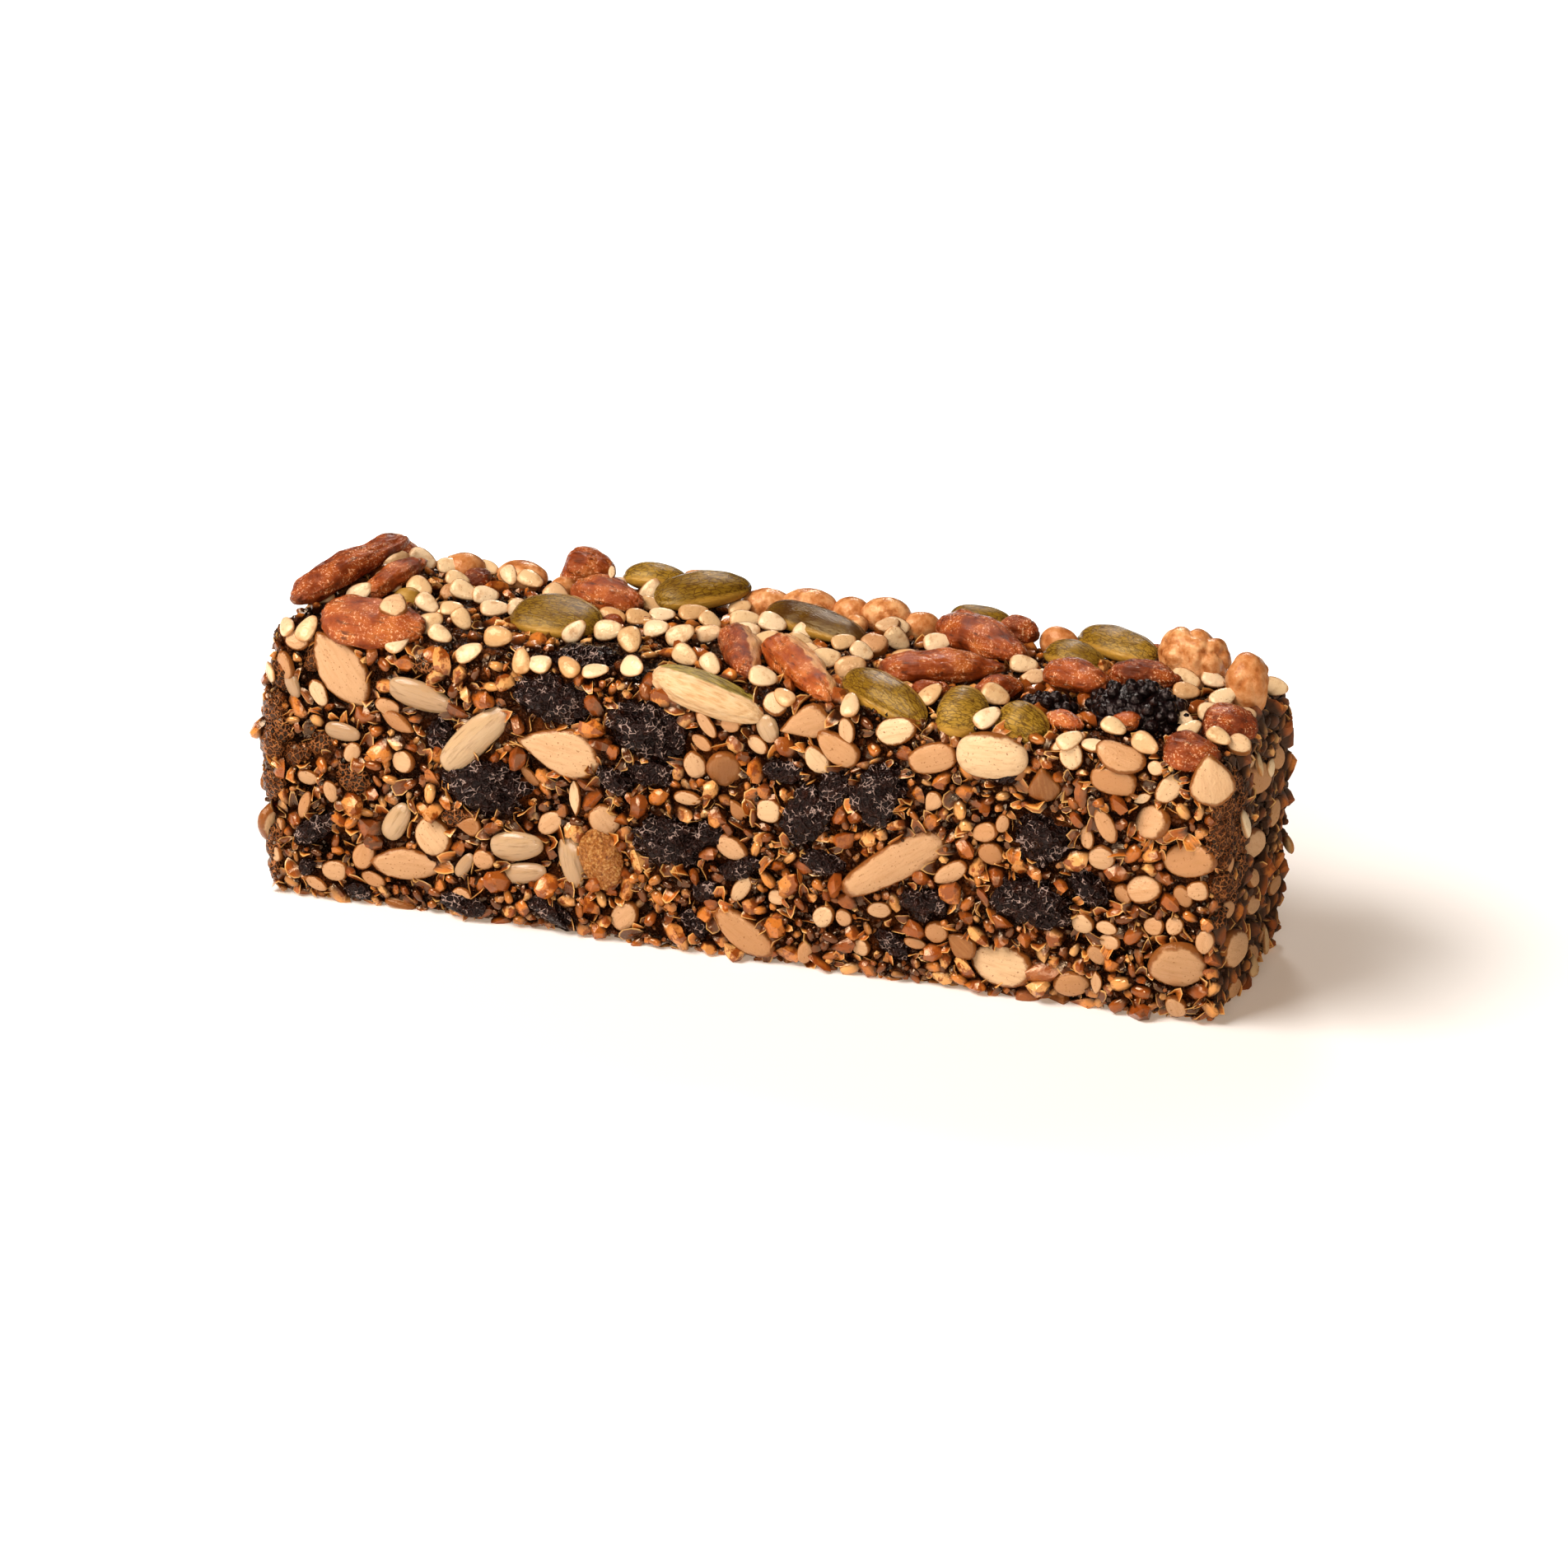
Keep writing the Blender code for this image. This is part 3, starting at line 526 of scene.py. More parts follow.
def topSpots(x, y):
    # Where a point of the top, given as x and y, lies on the plain box
    x, y = np.asarray(x, float), np.asarray(y, float)
    flat = np.stack([x, y - leanAt(x, block["height"]), np.full_like(x, blockHalf[2])], -1)
    return np.clip(flat / blockHalf, -1, 1)


def frontSpots(x, z):
    # Where a point seen on the front plane lies on the block: it slides along the line of sight to the
    # leaning wall
    x, z = np.asarray(x, float), np.asarray(z, float)
    sight = -cameraAxes()[2]
    back = leanAt(x, z)
    x = x + back * sight[0] / sight[1]
    z = z + back * sight[2] / sight[1]
    flat = np.stack([x, np.full_like(x, -blockHalf[1]), z - blockHalf[2]], -1)
    return np.clip(flat / blockHalf, -1, 1)


def anySpots(count, sides, within=1.0):
    # Even random spots on the plain box: a side drawn by its area, then two even coordinates.
    # The sides are left, right, front, back, underside and top, each with a weight.
    areas = np.repeat([blockHalf[1] * blockHalf[2], blockHalf[0] * blockHalf[2], blockHalf[0] * blockHalf[1]], 2)
    weights = areas * np.array(sides)
    side = draw.choice(6, count, p=weights / weights.sum())
    spots = draw.uniform(-1, 1, (count, 3)) * within
    spots[np.arange(count), side // 2] = (side % 2) * 2 - 1
    return spots


def facingAxes(normals, headings, tilts=0.0, leanings=0.0):
    # Rows along, across and out for pieces that lie on a surface: heading turns along in the surface, from
    # level (or from X on top); tilt lifts the far side about along, leaning lifts the end about across
    reference = np.where(np.abs(normals[:, 2:]) > 0.8, [[0.0, 1.0, 0.0]], [[0.0, 0.0, 1.0]])
    up = reference - normals * np.sum(reference * normals, axis=1, keepdims=True)
    up /= np.linalg.norm(up, axis=1, keepdims=True)
    right = np.cross(up, normals)
    turn = np.radians(headings)[:, None]
    along = right * np.cos(turn) + up * np.sin(turn)
    across = np.cross(normals, along)
    tilt = np.radians(np.broadcast_to(tilts, len(normals)))[:, None]
    across, out = across * np.cos(tilt) + normals * np.sin(tilt), normals * np.cos(tilt) - across * np.sin(tilt)
    pitch = np.radians(np.broadcast_to(leanings, len(normals)))[:, None]
    along, out = along * np.cos(pitch) + out * np.sin(pitch), out * np.cos(pitch) - along * np.sin(pitch)
    return np.stack([along, across, out], axis=1)


def closedGrid(rings, sides):
    # Angles a, from 0 to pi between two poles, and b, once round, of each point, with triangles that close it
    a = np.concatenate([[0.0], np.repeat(np.pi * np.arange(1, rings) / rings, sides), [np.pi]])
    b = np.concatenate([[0.0], np.tile(2 * np.pi * np.arange(sides) / sides, rings - 1), [0.0]])
    side = np.arange(sides)
    after = (side + 1) % sides
    lastRow = 1 + (rings - 2) * sides
    row = 1 + sides * np.arange(rings - 2)[:, None]
    near, far = row + side, row + after
    faces = np.concatenate([
        np.stack([0 * side, 1 + side, 1 + after], -1),
        np.stack([near, near + sides, far + sides], -1).reshape(-1, 3),
        np.stack([near, far + sides, far], -1).reshape(-1, 3),
        np.stack([0 * side + len(a) - 1, lastRow + after, lastRow + side], -1),
    ])
    return a, b, faces


def outwardFaces(points, faces):
    # Turned over if the closed shape's volume comes out negative
    corner = points[faces]
    volume = np.sum(corner[:, 0] * np.cross(corner[:, 1], corner[:, 2]))
    return faces if volume > 0 else faces[:, ::-1]


def putPiece(name, points, faces, finish, slot, marks=None, nodes=(), sharp=None):
    # points is pieces by corners by 3, in millimetres; marks are values kept on the points;
    # nodes are what it replaces
    pieces, corners = points.shape[:2]
    points = np.clip(points, lowest, highest)
    faces = outwardFaces(points[0], faces)
    loops = (faces[None] + corners * np.arange(pieces)[:, None, None]).reshape(-1).astype(np.int32)
    mesh = bpy.data.meshes.new(name)
    mesh.vertices.add(pieces * corners)
    mesh.vertices.foreach_set("co", (points * mm).astype(np.float32).ravel())
    mesh.loops.add(len(loops))
    mesh.loops.foreach_set("vertex_index", loops)
    mesh.polygons.add(len(loops) // 3)
    mesh.polygons.foreach_set("loop_start", np.arange(0, len(loops), 3, dtype=np.int32))
    mesh.update(calc_edges=True)
    mesh.shade_smooth()
    if sharp:
        mesh.set_sharp_from_angle(angle=math.radians(sharp))
    # The cut right end is dry, so it shines less
    dry = np.clip((points[..., 0] - blockHalf[0] + 1.6) / 1.2, 0, 1)
    marks = dict(marks or {}, height=heightAbove(points), dry=dry)
    for key, value in marks.items():
        vector = value.ndim == 3
        layer = mesh.attributes.new(key, "FLOAT_VECTOR" if vector else "FLOAT", "POINT")
        full = np.broadcast_to(value, (pieces, corners) + ((3,) if vector else ()))
        layer.data.foreach_set("vector" if vector else "value", full.astype(np.float32).ravel())
    mesh.materials.append(finishes[finish])
    obj = link(name, mesh)
    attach(obj, "root")
    if nodes:
        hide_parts(*nodes)
    print(f"{name}: {pieces} of {len(faces)} triangles, {pieces * len(faces)} in all")


# Finish and slot of each kind of piece
kinds = dict(
    cutNuts=("cutFace", "cut_nut"), glassySeeds=("glassySeed", "cut_nut"), raisins=("raisinSkin", "dried_fruit"),
    crustLumps=("porousCrust", "pressed_mix"), amberPiece=("amberCandy", "cut_nut"),
    sesame=("sesameCoat", "cut_nut"),
    backNuts=("walnutFlesh", "walnut"), topCuts=("cutFace", "cut_nut"), topReds=("almondSkin", "almond_skin"),
    topGreens=("pumpkinSkin", "pumpkin_seed"), toastedSeeds=("toastedCoat", "pressed_mix"),
    choppedNuts=("choppedNut", "cut_nut"), huskFlakes=("huskFlake", "pressed_mix"),
    crumbs=("crumbMix", "pressed_mix"), blackBeads=("blackBead", "dried_fruit"),
    fruitBeads=("darkFruit", "dried_fruit"), almond=("almondSkin", "almond_skin"),
    pumpkin_seed=("pumpkinSkin", "pumpkin_seed"), splitSeed=("splitSeed", "pumpkin_seed"),
    cut_seed=("cutFace", "cut_nut"), dried_fruit=("darkFruit", "dried_fruit"), walnut=("walnutFlesh", "walnut"),
)
shiftReach = 40


def shifts(count):
    return draw.uniform(-shiftReach, shiftReach, (count, 1, 3))


def scatter(name, grid, form, middles, axes, sharp=None, pick=None, kind=None, nodes=(), **marks):
    # One mesh of many pieces: form turned to each one's axes and moved to its middle. Local is the form with a
    # shift for each piece, so that no two share a pattern, and pick a number for its tone
    marks["local"] = form + shifts(len(form))
    marks["pick"] = (draw.uniform(0, 1, len(form)) if pick is None else pick)[:, None]
    points = middles[:, None] + np.einsum("nvi,nij->nvj", form, axes)
    putPiece(name, points, grid[2], *kinds[kind or name], marks, nodes, sharp)


# Shapes of scattered pieces, as arrays of pieces by points
def seedForm(grid, halves, blunt=0.2, power=0.85, flat=1.0):
    # x = -cos a, radius = sin(a)^power (1 + blunt cos a); across = radius cos b,
    # out = radius sin b flattened by a power
    a, b, _ = grid
    radius = np.sin(a) ** power * (1 + blunt * np.cos(a))
    out = np.sign(np.sin(b)) * np.abs(np.sin(b)) ** flat
    unit = np.stack([-np.cos(a), radius * np.cos(b), radius * out], -1)
    return unit[None] * halves[:, None]


def ballOf(grid):
    a, b, _ = grid
    return np.stack([-np.cos(a), np.sin(a) * np.cos(b), np.sin(a) * np.sin(b)], -1)


def choppedForm(grid, halves, planes):
    # A ball cut by random planes: radius = least of offset / (direction . normal)
    ball = ballOf(grid)
    normals = draw.normal(size=(len(halves), planes, 3))
    normals /= np.linalg.norm(normals, axis=-1, keepdims=True)
    offsets = draw.uniform(0.5, 0.95, (len(halves), planes, 1))
    reach = offsets / np.maximum(normals @ ball.T, 0.1)
    radius = np.minimum(reach.min(axis=1), 1.15)
    return ball[None] * radius[..., None] * halves[:, None]


def sliceForm(grid, halves, pointed, taper, bend, wave):
    # A plate with its poles on its faces: outline x = cos b, y = sin b |sin b|^pointed (1 + taper cos b) + bend x^2,
    # waved by sines of 3b and 5b; reach = sin(a)^0.45 and height = cos a to the power 0.75
    a, b, _ = grid
    reach = np.sin(a) ** 0.45
    phase = draw.uniform(0, 6.28, (2, len(halves), 1))
    ripple = 1 + wave[:, None] * (np.sin(3 * b + phase[0]) + 0.6 * np.sin(5 * b + phase[1]))
    x = reach * np.cos(b) * ripple
    narrowing = np.maximum(np.abs(np.sin(b)), 1e-4) ** pointed[:, None]
    y = reach * np.sin(b) * narrowing * (1 + taper[:, None] * np.cos(b)) * ripple
    y = y + bend[:, None] * (x * x - 0.4)
    z = np.sign(np.cos(a)) * np.abs(np.cos(a)) ** 0.75 * np.ones_like(x)
    return np.stack([x, y, z], -1) * halves[:, None], reach


def flakeForm(grid, halves, curl):
    # A thin plate bent into a trough: z = thickness cos a + curl (y^2 - x^2 / 3), outline waved by a sine of 3b
    a, b, _ = grid
    reach = np.sin(a) ** 0.5
    ripple = 1 + 0.12 * np.sin(3 * b + draw.uniform(0, 6.28, (len(halves), 1)))
    x = reach * np.cos(b) * ripple
    y = reach * np.sin(b) * ripple
    form = np.stack([x, y, np.cos(a) * np.ones_like(x)], -1) * halves[:, None]
    form[..., 2] += curl[:, None] * (y * y - x * x / 3)
    return form, reach


def wornForm(grid, halves, depth, spacing):
    # A ball worn by folds: radius = 1 - depth * (sum of |noise| at two scales), noise on the piece's own place
    body = ballOf(grid)[None] * halves[:, None]
    shifted = body + shifts(len(halves))
    fold = np.abs(smoothNoise(shifted / spacing, 11)) + 0.5 * np.abs(smoothNoise(shifted / spacing * 2.1, 12))
    lump = smoothNoise(shifted / (spacing * 2.4), 13)
    return body * (1 + 0.16 * lump - depth * (fold - 0.35))[..., None]


def shareSizes(sizes, wide, thick):
    # Half length, width and thickness of each size, the last two as random shares of it
    count = len(sizes)
    return np.stack([sizes, sizes * draw.uniform(*wide, count), sizes * draw.uniform(*thick, count)], -1) / 2


def withMore(rows, count, lengths, shares):
    # Length, width and turn of the rows set by hand, then of random ones
    more = draw.uniform(*lengths, count)
    drawn = np.stack([more, more * draw.uniform(*shares, count), draw.uniform(0, 180, count)], -1)
    return np.concatenate([rows[:, 2:5], drawn]).T


def spaced(places, reaches, taken, closeness):
    # Indices kept in turn where a place is at least closeness times the mean reach from every kept one
    spots, sizes = taken or (np.zeros((0, 3)), np.zeros(0))
    used, kept = len(spots), []
    room, wide = np.zeros((used + len(places), 3)), np.zeros(used + len(places))
    room[:used], wide[:used] = spots, sizes
    for i, place in enumerate(places):
        gap = room[:used] - place
        if used and np.any(np.einsum("ij,ij->i", gap, gap) < (closeness * (wide[:used] + reaches[i]) / 2) ** 2):
            continue
        room[used], wide[used] = place, reaches[i]
        used += 1
        kept.append(i)
    return np.array(kept, int), (room[:used], wide[:used])


def footprints(places, axes, lengths, widths):
    # Three discs along each large piece, so that small ones keep off its whole length
    reach = np.maximum(lengths - widths, 0) * 0.42
    spots = places[:, None] + axes[:, None, 0] * (reach[:, None] * [-1, 0, 1])[..., None]
    return spots.reshape(-1, 3), np.repeat(np.minimum(widths, lengths) * 1.3, 3)


# Core: the sticky mix that the rest is pressed into
core = dict(cell=0.5, recess=0.7, pits=0.55, pitSpan=2.2, fine=0.42, fineSpan=1.1)


def makeCore():
    # The block on an even lattice of its surface, sunk by recess and pitted by noise at two scales
    counts = np.maximum(2, np.round(2 * blockHalf / core["cell"])).astype(int)
    keys, quads = [], []
    for axis in range(3):
        across, along = [i for i in range(3) if i != axis]
        i, j = np.meshgrid(np.arange(counts[across] + 1), np.arange(counts[along] + 1), indexing="ij")
        for side in (0, counts[axis]):
            key = np.zeros(i.shape + (3,), int)
            key[..., axis], key[..., across], key[..., along] = side, i, j
            number = sum(len(k) for k in keys) + np.arange(i.size).reshape(i.shape)
            keys.append(key.reshape(-1, 3))
            corner = np.stack([number[:-1, :-1], number[1:, :-1], number[1:, 1:], number[:-1, 1:]], -1)
            corner = corner.reshape(-1, 4)
            outward = (side > 0) != (axis == 1)
            quads.append(corner if outward else corner[:, ::-1])
    keys, index = np.unique(np.concatenate(keys), axis=0, return_inverse=True)
    quads = index.reshape(-1)[np.concatenate(quads)]
    faces = np.concatenate([quads[:, [0, 1, 2]], quads[:, [0, 2, 3]]])
    place, away = blockSurface(keys / counts * 2 - 1)
    worn = core["pits"] * smoothNoise(place / core["pitSpan"], 21)
    worn = worn + core["fine"] * smoothNoise(place / core["fineSpan"], 22)
    depth = core["recess"] - worn
    depth = np.where(away[:, 2] < -0.9, 0.1, depth)
    place = place - away * depth[:, None]
    putPiece("stickyCore", place[None], faces, "stickyMix", "pressed_mix", nodes=("bar",))


# Large pieces that show in the front wall: x, height, length, width, angle, tone from dark 0 to cream 1, and the
# form where it isn't oval
# Pointed, taper and bend of each form
cutForms = dict(oval=(0, 0, 0), leaf=(0.8, 0, 0), wedge=(0.35, 0.55, 0), bean=(0, 0.1, 0.22), slab=(-0.35, 0.1, 0))
frontCuts = [
    (-48.8, 28.2, 10.8, 6.0, -53, 0.66, "leaf"), (-51.6, 25.2, 3.5, 2.0, -60, 0.95),
    (-42.8, 24.5, 3.5, 2.0, -20, 0.55), (-41.5, 23.0, 5.0, 2.2, -15, 0.3, "leaf"),
    (-40.6, 18.3, 3.4, 2.7, 0, 0.72), (-47.1, 18.6, 2.6, 2.0, 60, 0.68), (-53.0, 14.5, 2.7, 1.9, -15, 0.66),
    (-49.8, 13.3, 2.8, 1.8, -70, 0.6), (-53.3, 11.0, 3.5, 1.6, 80, 0.4), (-37.0, 9.4, 5.0, 4.4, -50, 0.8),
    (-40.3, 5.4, 9.3, 4.0, 0, 0.62, "leaf"), (-45.7, 5.8, 3.6, 2.8, 70, 0.5),
    (-49.4, 3.4, 3.2, 2.6, 0, 0.66, "slab"), (-56.6, 7.8, 2.0, 1.8, 0, 0.55), (-56.7, 4.4, 2.3, 1.8, -30, 0.7),
    (-51.6, 1.6, 3.0, 1.6, -20, 0.55), (-44.6, 2.9, 3.2, 1.7, -20, 0.4), (-32.9, 3.0, 2.6, 1.8, -10, 0.6),
    (-32.3, 11.5, 3.3, 2.1, 0, 0.2, "wedge"), (-30.5, 7.5, 3.0, 2.5, 0, 0.55),
    (-21.2, 22.3, 10.6, 5.5, -10, 0.78, "wedge"), (-22.3, 13.2, 3.6, 2.6, 40, 0.68),
    (-24.9, 18.6, 3.0, 1.4, -45, 0.15, "slab"), (-19.1, 17.0, 4.5, 1.5, -80, 0.92, "leaf"),
    (-15.6, 14.6, 4.0, 3.4, -50, 0.68, "slab"), (-12.9, 3.1, 4.2, 3.2, 50, 0.66),
    (-4.6, 22.9, 3.4, 2.7, -70, 0.74), (-1.2, 22.8, 4.8, 4.2, 90, 0.12), (-5.4, 18.8, 3.4, 1.8, -5, 0.72),
    (4.5, 18.8, 3.0, 2.9, 0, 0.88, "slab"), (0.1, 13.6, 4.2, 2.8, -25, 0.66), (-3.3, 28.0, 3.8, 1.6, -55, 0.62),
    (-0.6, 28.2, 2.4, 2.0, 0, 0.5), (-3.8, 25.7, 2.8, 1.6, -30, 0.45), (1.9, 3.6, 8.6, 3.8, -35, 0.45, "bean"),
    (4.6, 31.9, 3.0, 2.9, -60, 0.98), (8.4, 29.6, 6.5, 3.7, 22, 0.55, "wedge"),
    (12.5, 27.3, 5.7, 3.5, -30, 0.5, "bean"), (13.4, 29.5, 3.3, 2.0, -82, 0.78),
    (2.7, 26.2, 2.8, 1.9, -35, 0.82), (10.0, 25.6, 3.8, 2.6, -50, 0.92, "bean"),
    (19.2, 30.3, 5.0, 3.2, 18, 0.96), (23.6, 27.8, 5.6, 3.5, 18, 0.52, "slab"),
    (19.6, 14.6, 14.0, 4.5, 34, 0.66, "slab"), (26.2, 14.4, 4.6, 2.3, 35, 0.66),
    (23.8, 22.5, 2.8, 2.0, 60, 0.62, "wedge"), (1.4, 8.8, 3.8, 2.0, 60, 0.86),
    (5.6, 8.3, 2.1, 1.9, 0, 0.8, "slab"), (11.4, 6.9, 3.1, 2.5, 50, 0.92), (13.8, 7.1, 2.2, 1.9, -60, 0.6),
    (17.9, 8.6, 2.9, 2.0, 0, 0.7), (16.0, 3.8, 2.3, 2.2, 0, 0.74), (9.2, 1.9, 3.0, 1.9, 80, 0.5),
    (24.8, 7.0, 2.8, 2.8, 0, 0.4), (22.3, 5.2, 2.7, 1.3, -10, 0.4), (27.7, 5.8, 4.0, 2.8, -35, 0.13, "wedge"),
    (0.6, 18.2, 2.9, 1.8, -55, 0.25, "wedge"), (41.6, 32.4, 3.0, 1.7, -5, 0.97),
    (39.4, 30.3, 3.5, 2.7, -75, 0.97), (38.8, 33.0, 4.4, 1.6, 35, 0.9),
    (44.8, 30.9, 6.0, 3.4, -12, 0.52, "bean"), (44.3, 28.0, 5.4, 3.2, -5, 0.35, "slab"),
    (36.5, 26.4, 4.3, 3.5, -80, 0.06, "wedge"), (33.2, 27.6, 2.6, 2.2, 10, 0.15, "wedge"),
    (48.9, 30.0, 2.0, 1.7, -10, 0.85), (50.6, 27.9, 4.2, 2.6, 55, 0.88),
    (55.3, 29.6, 6.0, 4.8, -80, 0.78, "wedge"), (48.8, 23.6, 5.8, 4.0, 8, 0.66),
    (53.4, 19.8, 6.4, 4.2, 12, 0.4), (43.9, 22.8, 4.4, 2.1, -60, 0.5), (41.8, 21.0, 2.8, 1.6, -78, 0.6),
    (43.5, 18.8, 3.2, 3.0, 0, 0.7), (48.5, 15.7, 4.2, 3.3, 15, 0.62), (46.2, 14.8, 2.5, 2.2, -60, 0.38),
    (54.6, 16.5, 2.6, 2.3, 10, 0.66, "slab"), (53.0, 15.6, 2.9, 2.0, -60, 0.35),
    (53.0, 7.5, 6.7, 6.3, -20, 0.58), (41.8, 10.7, 2.8, 2.6, 0, 0.85), (44.6, 10.6, 2.6, 1.6, -8, 0.76),
    (45.1, 9.0, 2.7, 1.8, -5, 0.66), (50.0, 11.6, 2.5, 2.2, 0, 0.55), (52.3, 12.0, 2.3, 2.1, 70, 0.68),
    (55.9, 10.7, 3.0, 2.2, 80, 0.62), (30.8, 17.4, 3.1, 2.7, -20, 0.32), (30.0, 19.8, 3.3, 2.3, 20, 0.45),
    (32.0, 21.2, 2.5, 1.6, 80, 0.55), (32.6, 4.1, 7.8, 5.2, -4, 0.9), (40.9, 3.2, 4.4, 3.2, 5, 0.42),
    (53.1, 2.3, 3.2, 2.6, -75, 0.6), (43.9, 4.0, 2.8, 1.4, -85, 0.7, "leaf"), (43.7, 7.3, 2.9, 2.0, -60, 0.5),
    (47.6, 26.2, 2.4, 1.2, 30, 0.97, "leaf"), (-55.4, 28.0, 3.6, 2.4, -70, 0.4),
    (-54.3, 31.4, 3.0, 2.5, 0, 0.62),
]
# Nuts that show in the right end, the same with y for x
endCuts = [
    (-0.7, 17.6, 9.0, 3.7, -20, 0.66), (-7.2, 22.5, 5.0, 2.4, -20, 0.74), (0.5, 25.4, 10.0, 4.0, -20, 0.4),
    (0.0, 9.7, 7.4, 2.6, -18, 0.58), (-12.0, 13.4, 5.6, 2.2, -20, 0.45), (-10.2, 8.0, 8.4, 4.6, -22, 0.62),
    (-9.2, 2.6, 3.8, 2.6, -15, 0.5), (6.5, 11.0, 3.2, 2.4, -10, 0.72), (-1.5, 13.6, 4.2, 2.3, -20, 0.5),
    (-1.0, 3.8, 4.6, 2.4, -20, 0.5), (-3.4, 28.6, 3.0, 1.8, -20, 0.8), (6.8, 3.4, 5.4, 2.6, -25, 0.4),
    (8.0, 18.5, 4.0, 2.6, 30, 0.5), (9.4, 25.0, 4.6, 3.0, -30, 0.45), (-13.0, 19.0, 2.6, 1.6, 70, 0.4),
    (11.6, 8.0, 3.4, 2.4, 10, 0.45),
]
# Seeds with a glassy skin: x, height, length, width, angle
frontGlassy = [
    (-38.7, 26.6, 8.0, 3.6, -12), (-48.4, 20.9, 4.6, 2.3, -2), (-54.9, 25.9, 3.8, 1.8, -65),
    (-31.5, 22.6, 11.0, 4.0, 46), (-41.5, 10.7, 5.0, 3.0, 62), (-32.9, 6.5, 3.3, 1.7, 60),
    (-26.3, 9.9, 6.5, 3.7, 10), (-25.3, 6.7, 5.3, 2.5, 12), (-19.5, 8.8, 6.3, 2.9, -75),
    (3.9, 28.3, 3.4, 2.6, -60),
]
# Raisins and dark fruit in the wall: x, height, length, width, angle
frontRaisins = [
    (-30.0, 16.5, 11.3, 6.5, -5), (-36.3, 22.3, 4.6, 3.4, 70), (-51.9, 8.3, 6.5, 2.8, 38),
    (-52.8, 3.6, 3.0, 1.8, 45), (-22.3, 28.4, 10.0, 6.0, -5), (-10.2, 26.0, 9.8, 7.0, -12),
    (-7.5, 13.3, 9.0, 6.5, -8), (-10.0, 21.0, 5.5, 3.4, 0), (-2.6, 14.9, 3.6, 3.0, 0),
    (0.8, 11.0, 4.0, 2.4, 10), (9.0, 18.6, 7.6, 5.4, 60), (17.8, 22.8, 7.6, 6.3, 55), (12.4, 22.4, 4.6, 4.0, 0),
    (11.4, 13.6, 5.0, 2.6, -4), (23.2, 10.2, 5.6, 4.2, -10), (19.8, 4.6, 5.4, 3.0, -35),
    (2.3, 12.0, 3.5, 2.0, 10), (36.7, 20.4, 8.0, 7.0, 70), (35.6, 12.4, 9.2, 5.8, -8),
    (42.0, 15.0, 5.4, 3.4, -50), (-33.0, 1.9, 5.0, 2.6, -10), (-22.2, 2.4, 5.6, 2.8, -15),
    (-4.4, 3.4, 4.2, 2.2, -40), (-46.5, 0.9, 3.6, 2.4, 0), (31.5, 27.2, 4.6, 3.0, 10),
    (-14.4, 19.6, 5.0, 3.0, -20), (-3.0, 8.0, 4.2, 2.6, 30), (6.0, 23.6, 4.4, 2.6, 0),
]
# Raisins that lie on the top: x, y, length, width, angle
topRaisins = [(-19.6, -11.6, 8.5, 4.5, 5), (-36.0, 1.5, 3.6, 3.0, 0), (-44.0, 12.6, 4.2, 3.4, 0)]
# Brown porous lumps beside the left edge and in the wall
frontCrust = [
    (-58.0, 27.0, 4.6, 4.0, 80), (-58.6, 22.0, 5.0, 4.2, 70), (-57.6, 17.6, 5.4, 4.4, 60),
    (-58.4, 12.8, 4.8, 4.0, 90), (-56.0, 20.0, 4.4, 3.6, 0), (-46.9, 15.2, 5.4, 3.6, -50),
    (-54.6, 17.2, 4.4, 3.4, 40), (-58.2, 6.4, 3.6, 3.2, 80), (-51.5, 18.8, 4.4, 3.0, 20),
    (-34.0, 12.4, 3.6, 2.6, 0), (-52.6, 29.0, 3.6, 2.6, 60), (-38.2, 30.0, 3.6, 2.4, -20),
]
cuts = dict(
    rings=9, sides=18, thick=0.42, mostWidth=4.2, sunk=0.2, tilt=9,
    tries=1400, others=190, otherSides=(0.6, 0, 0, 1, 0.8, 0), otherLengths=(6.6, 2.2),
)


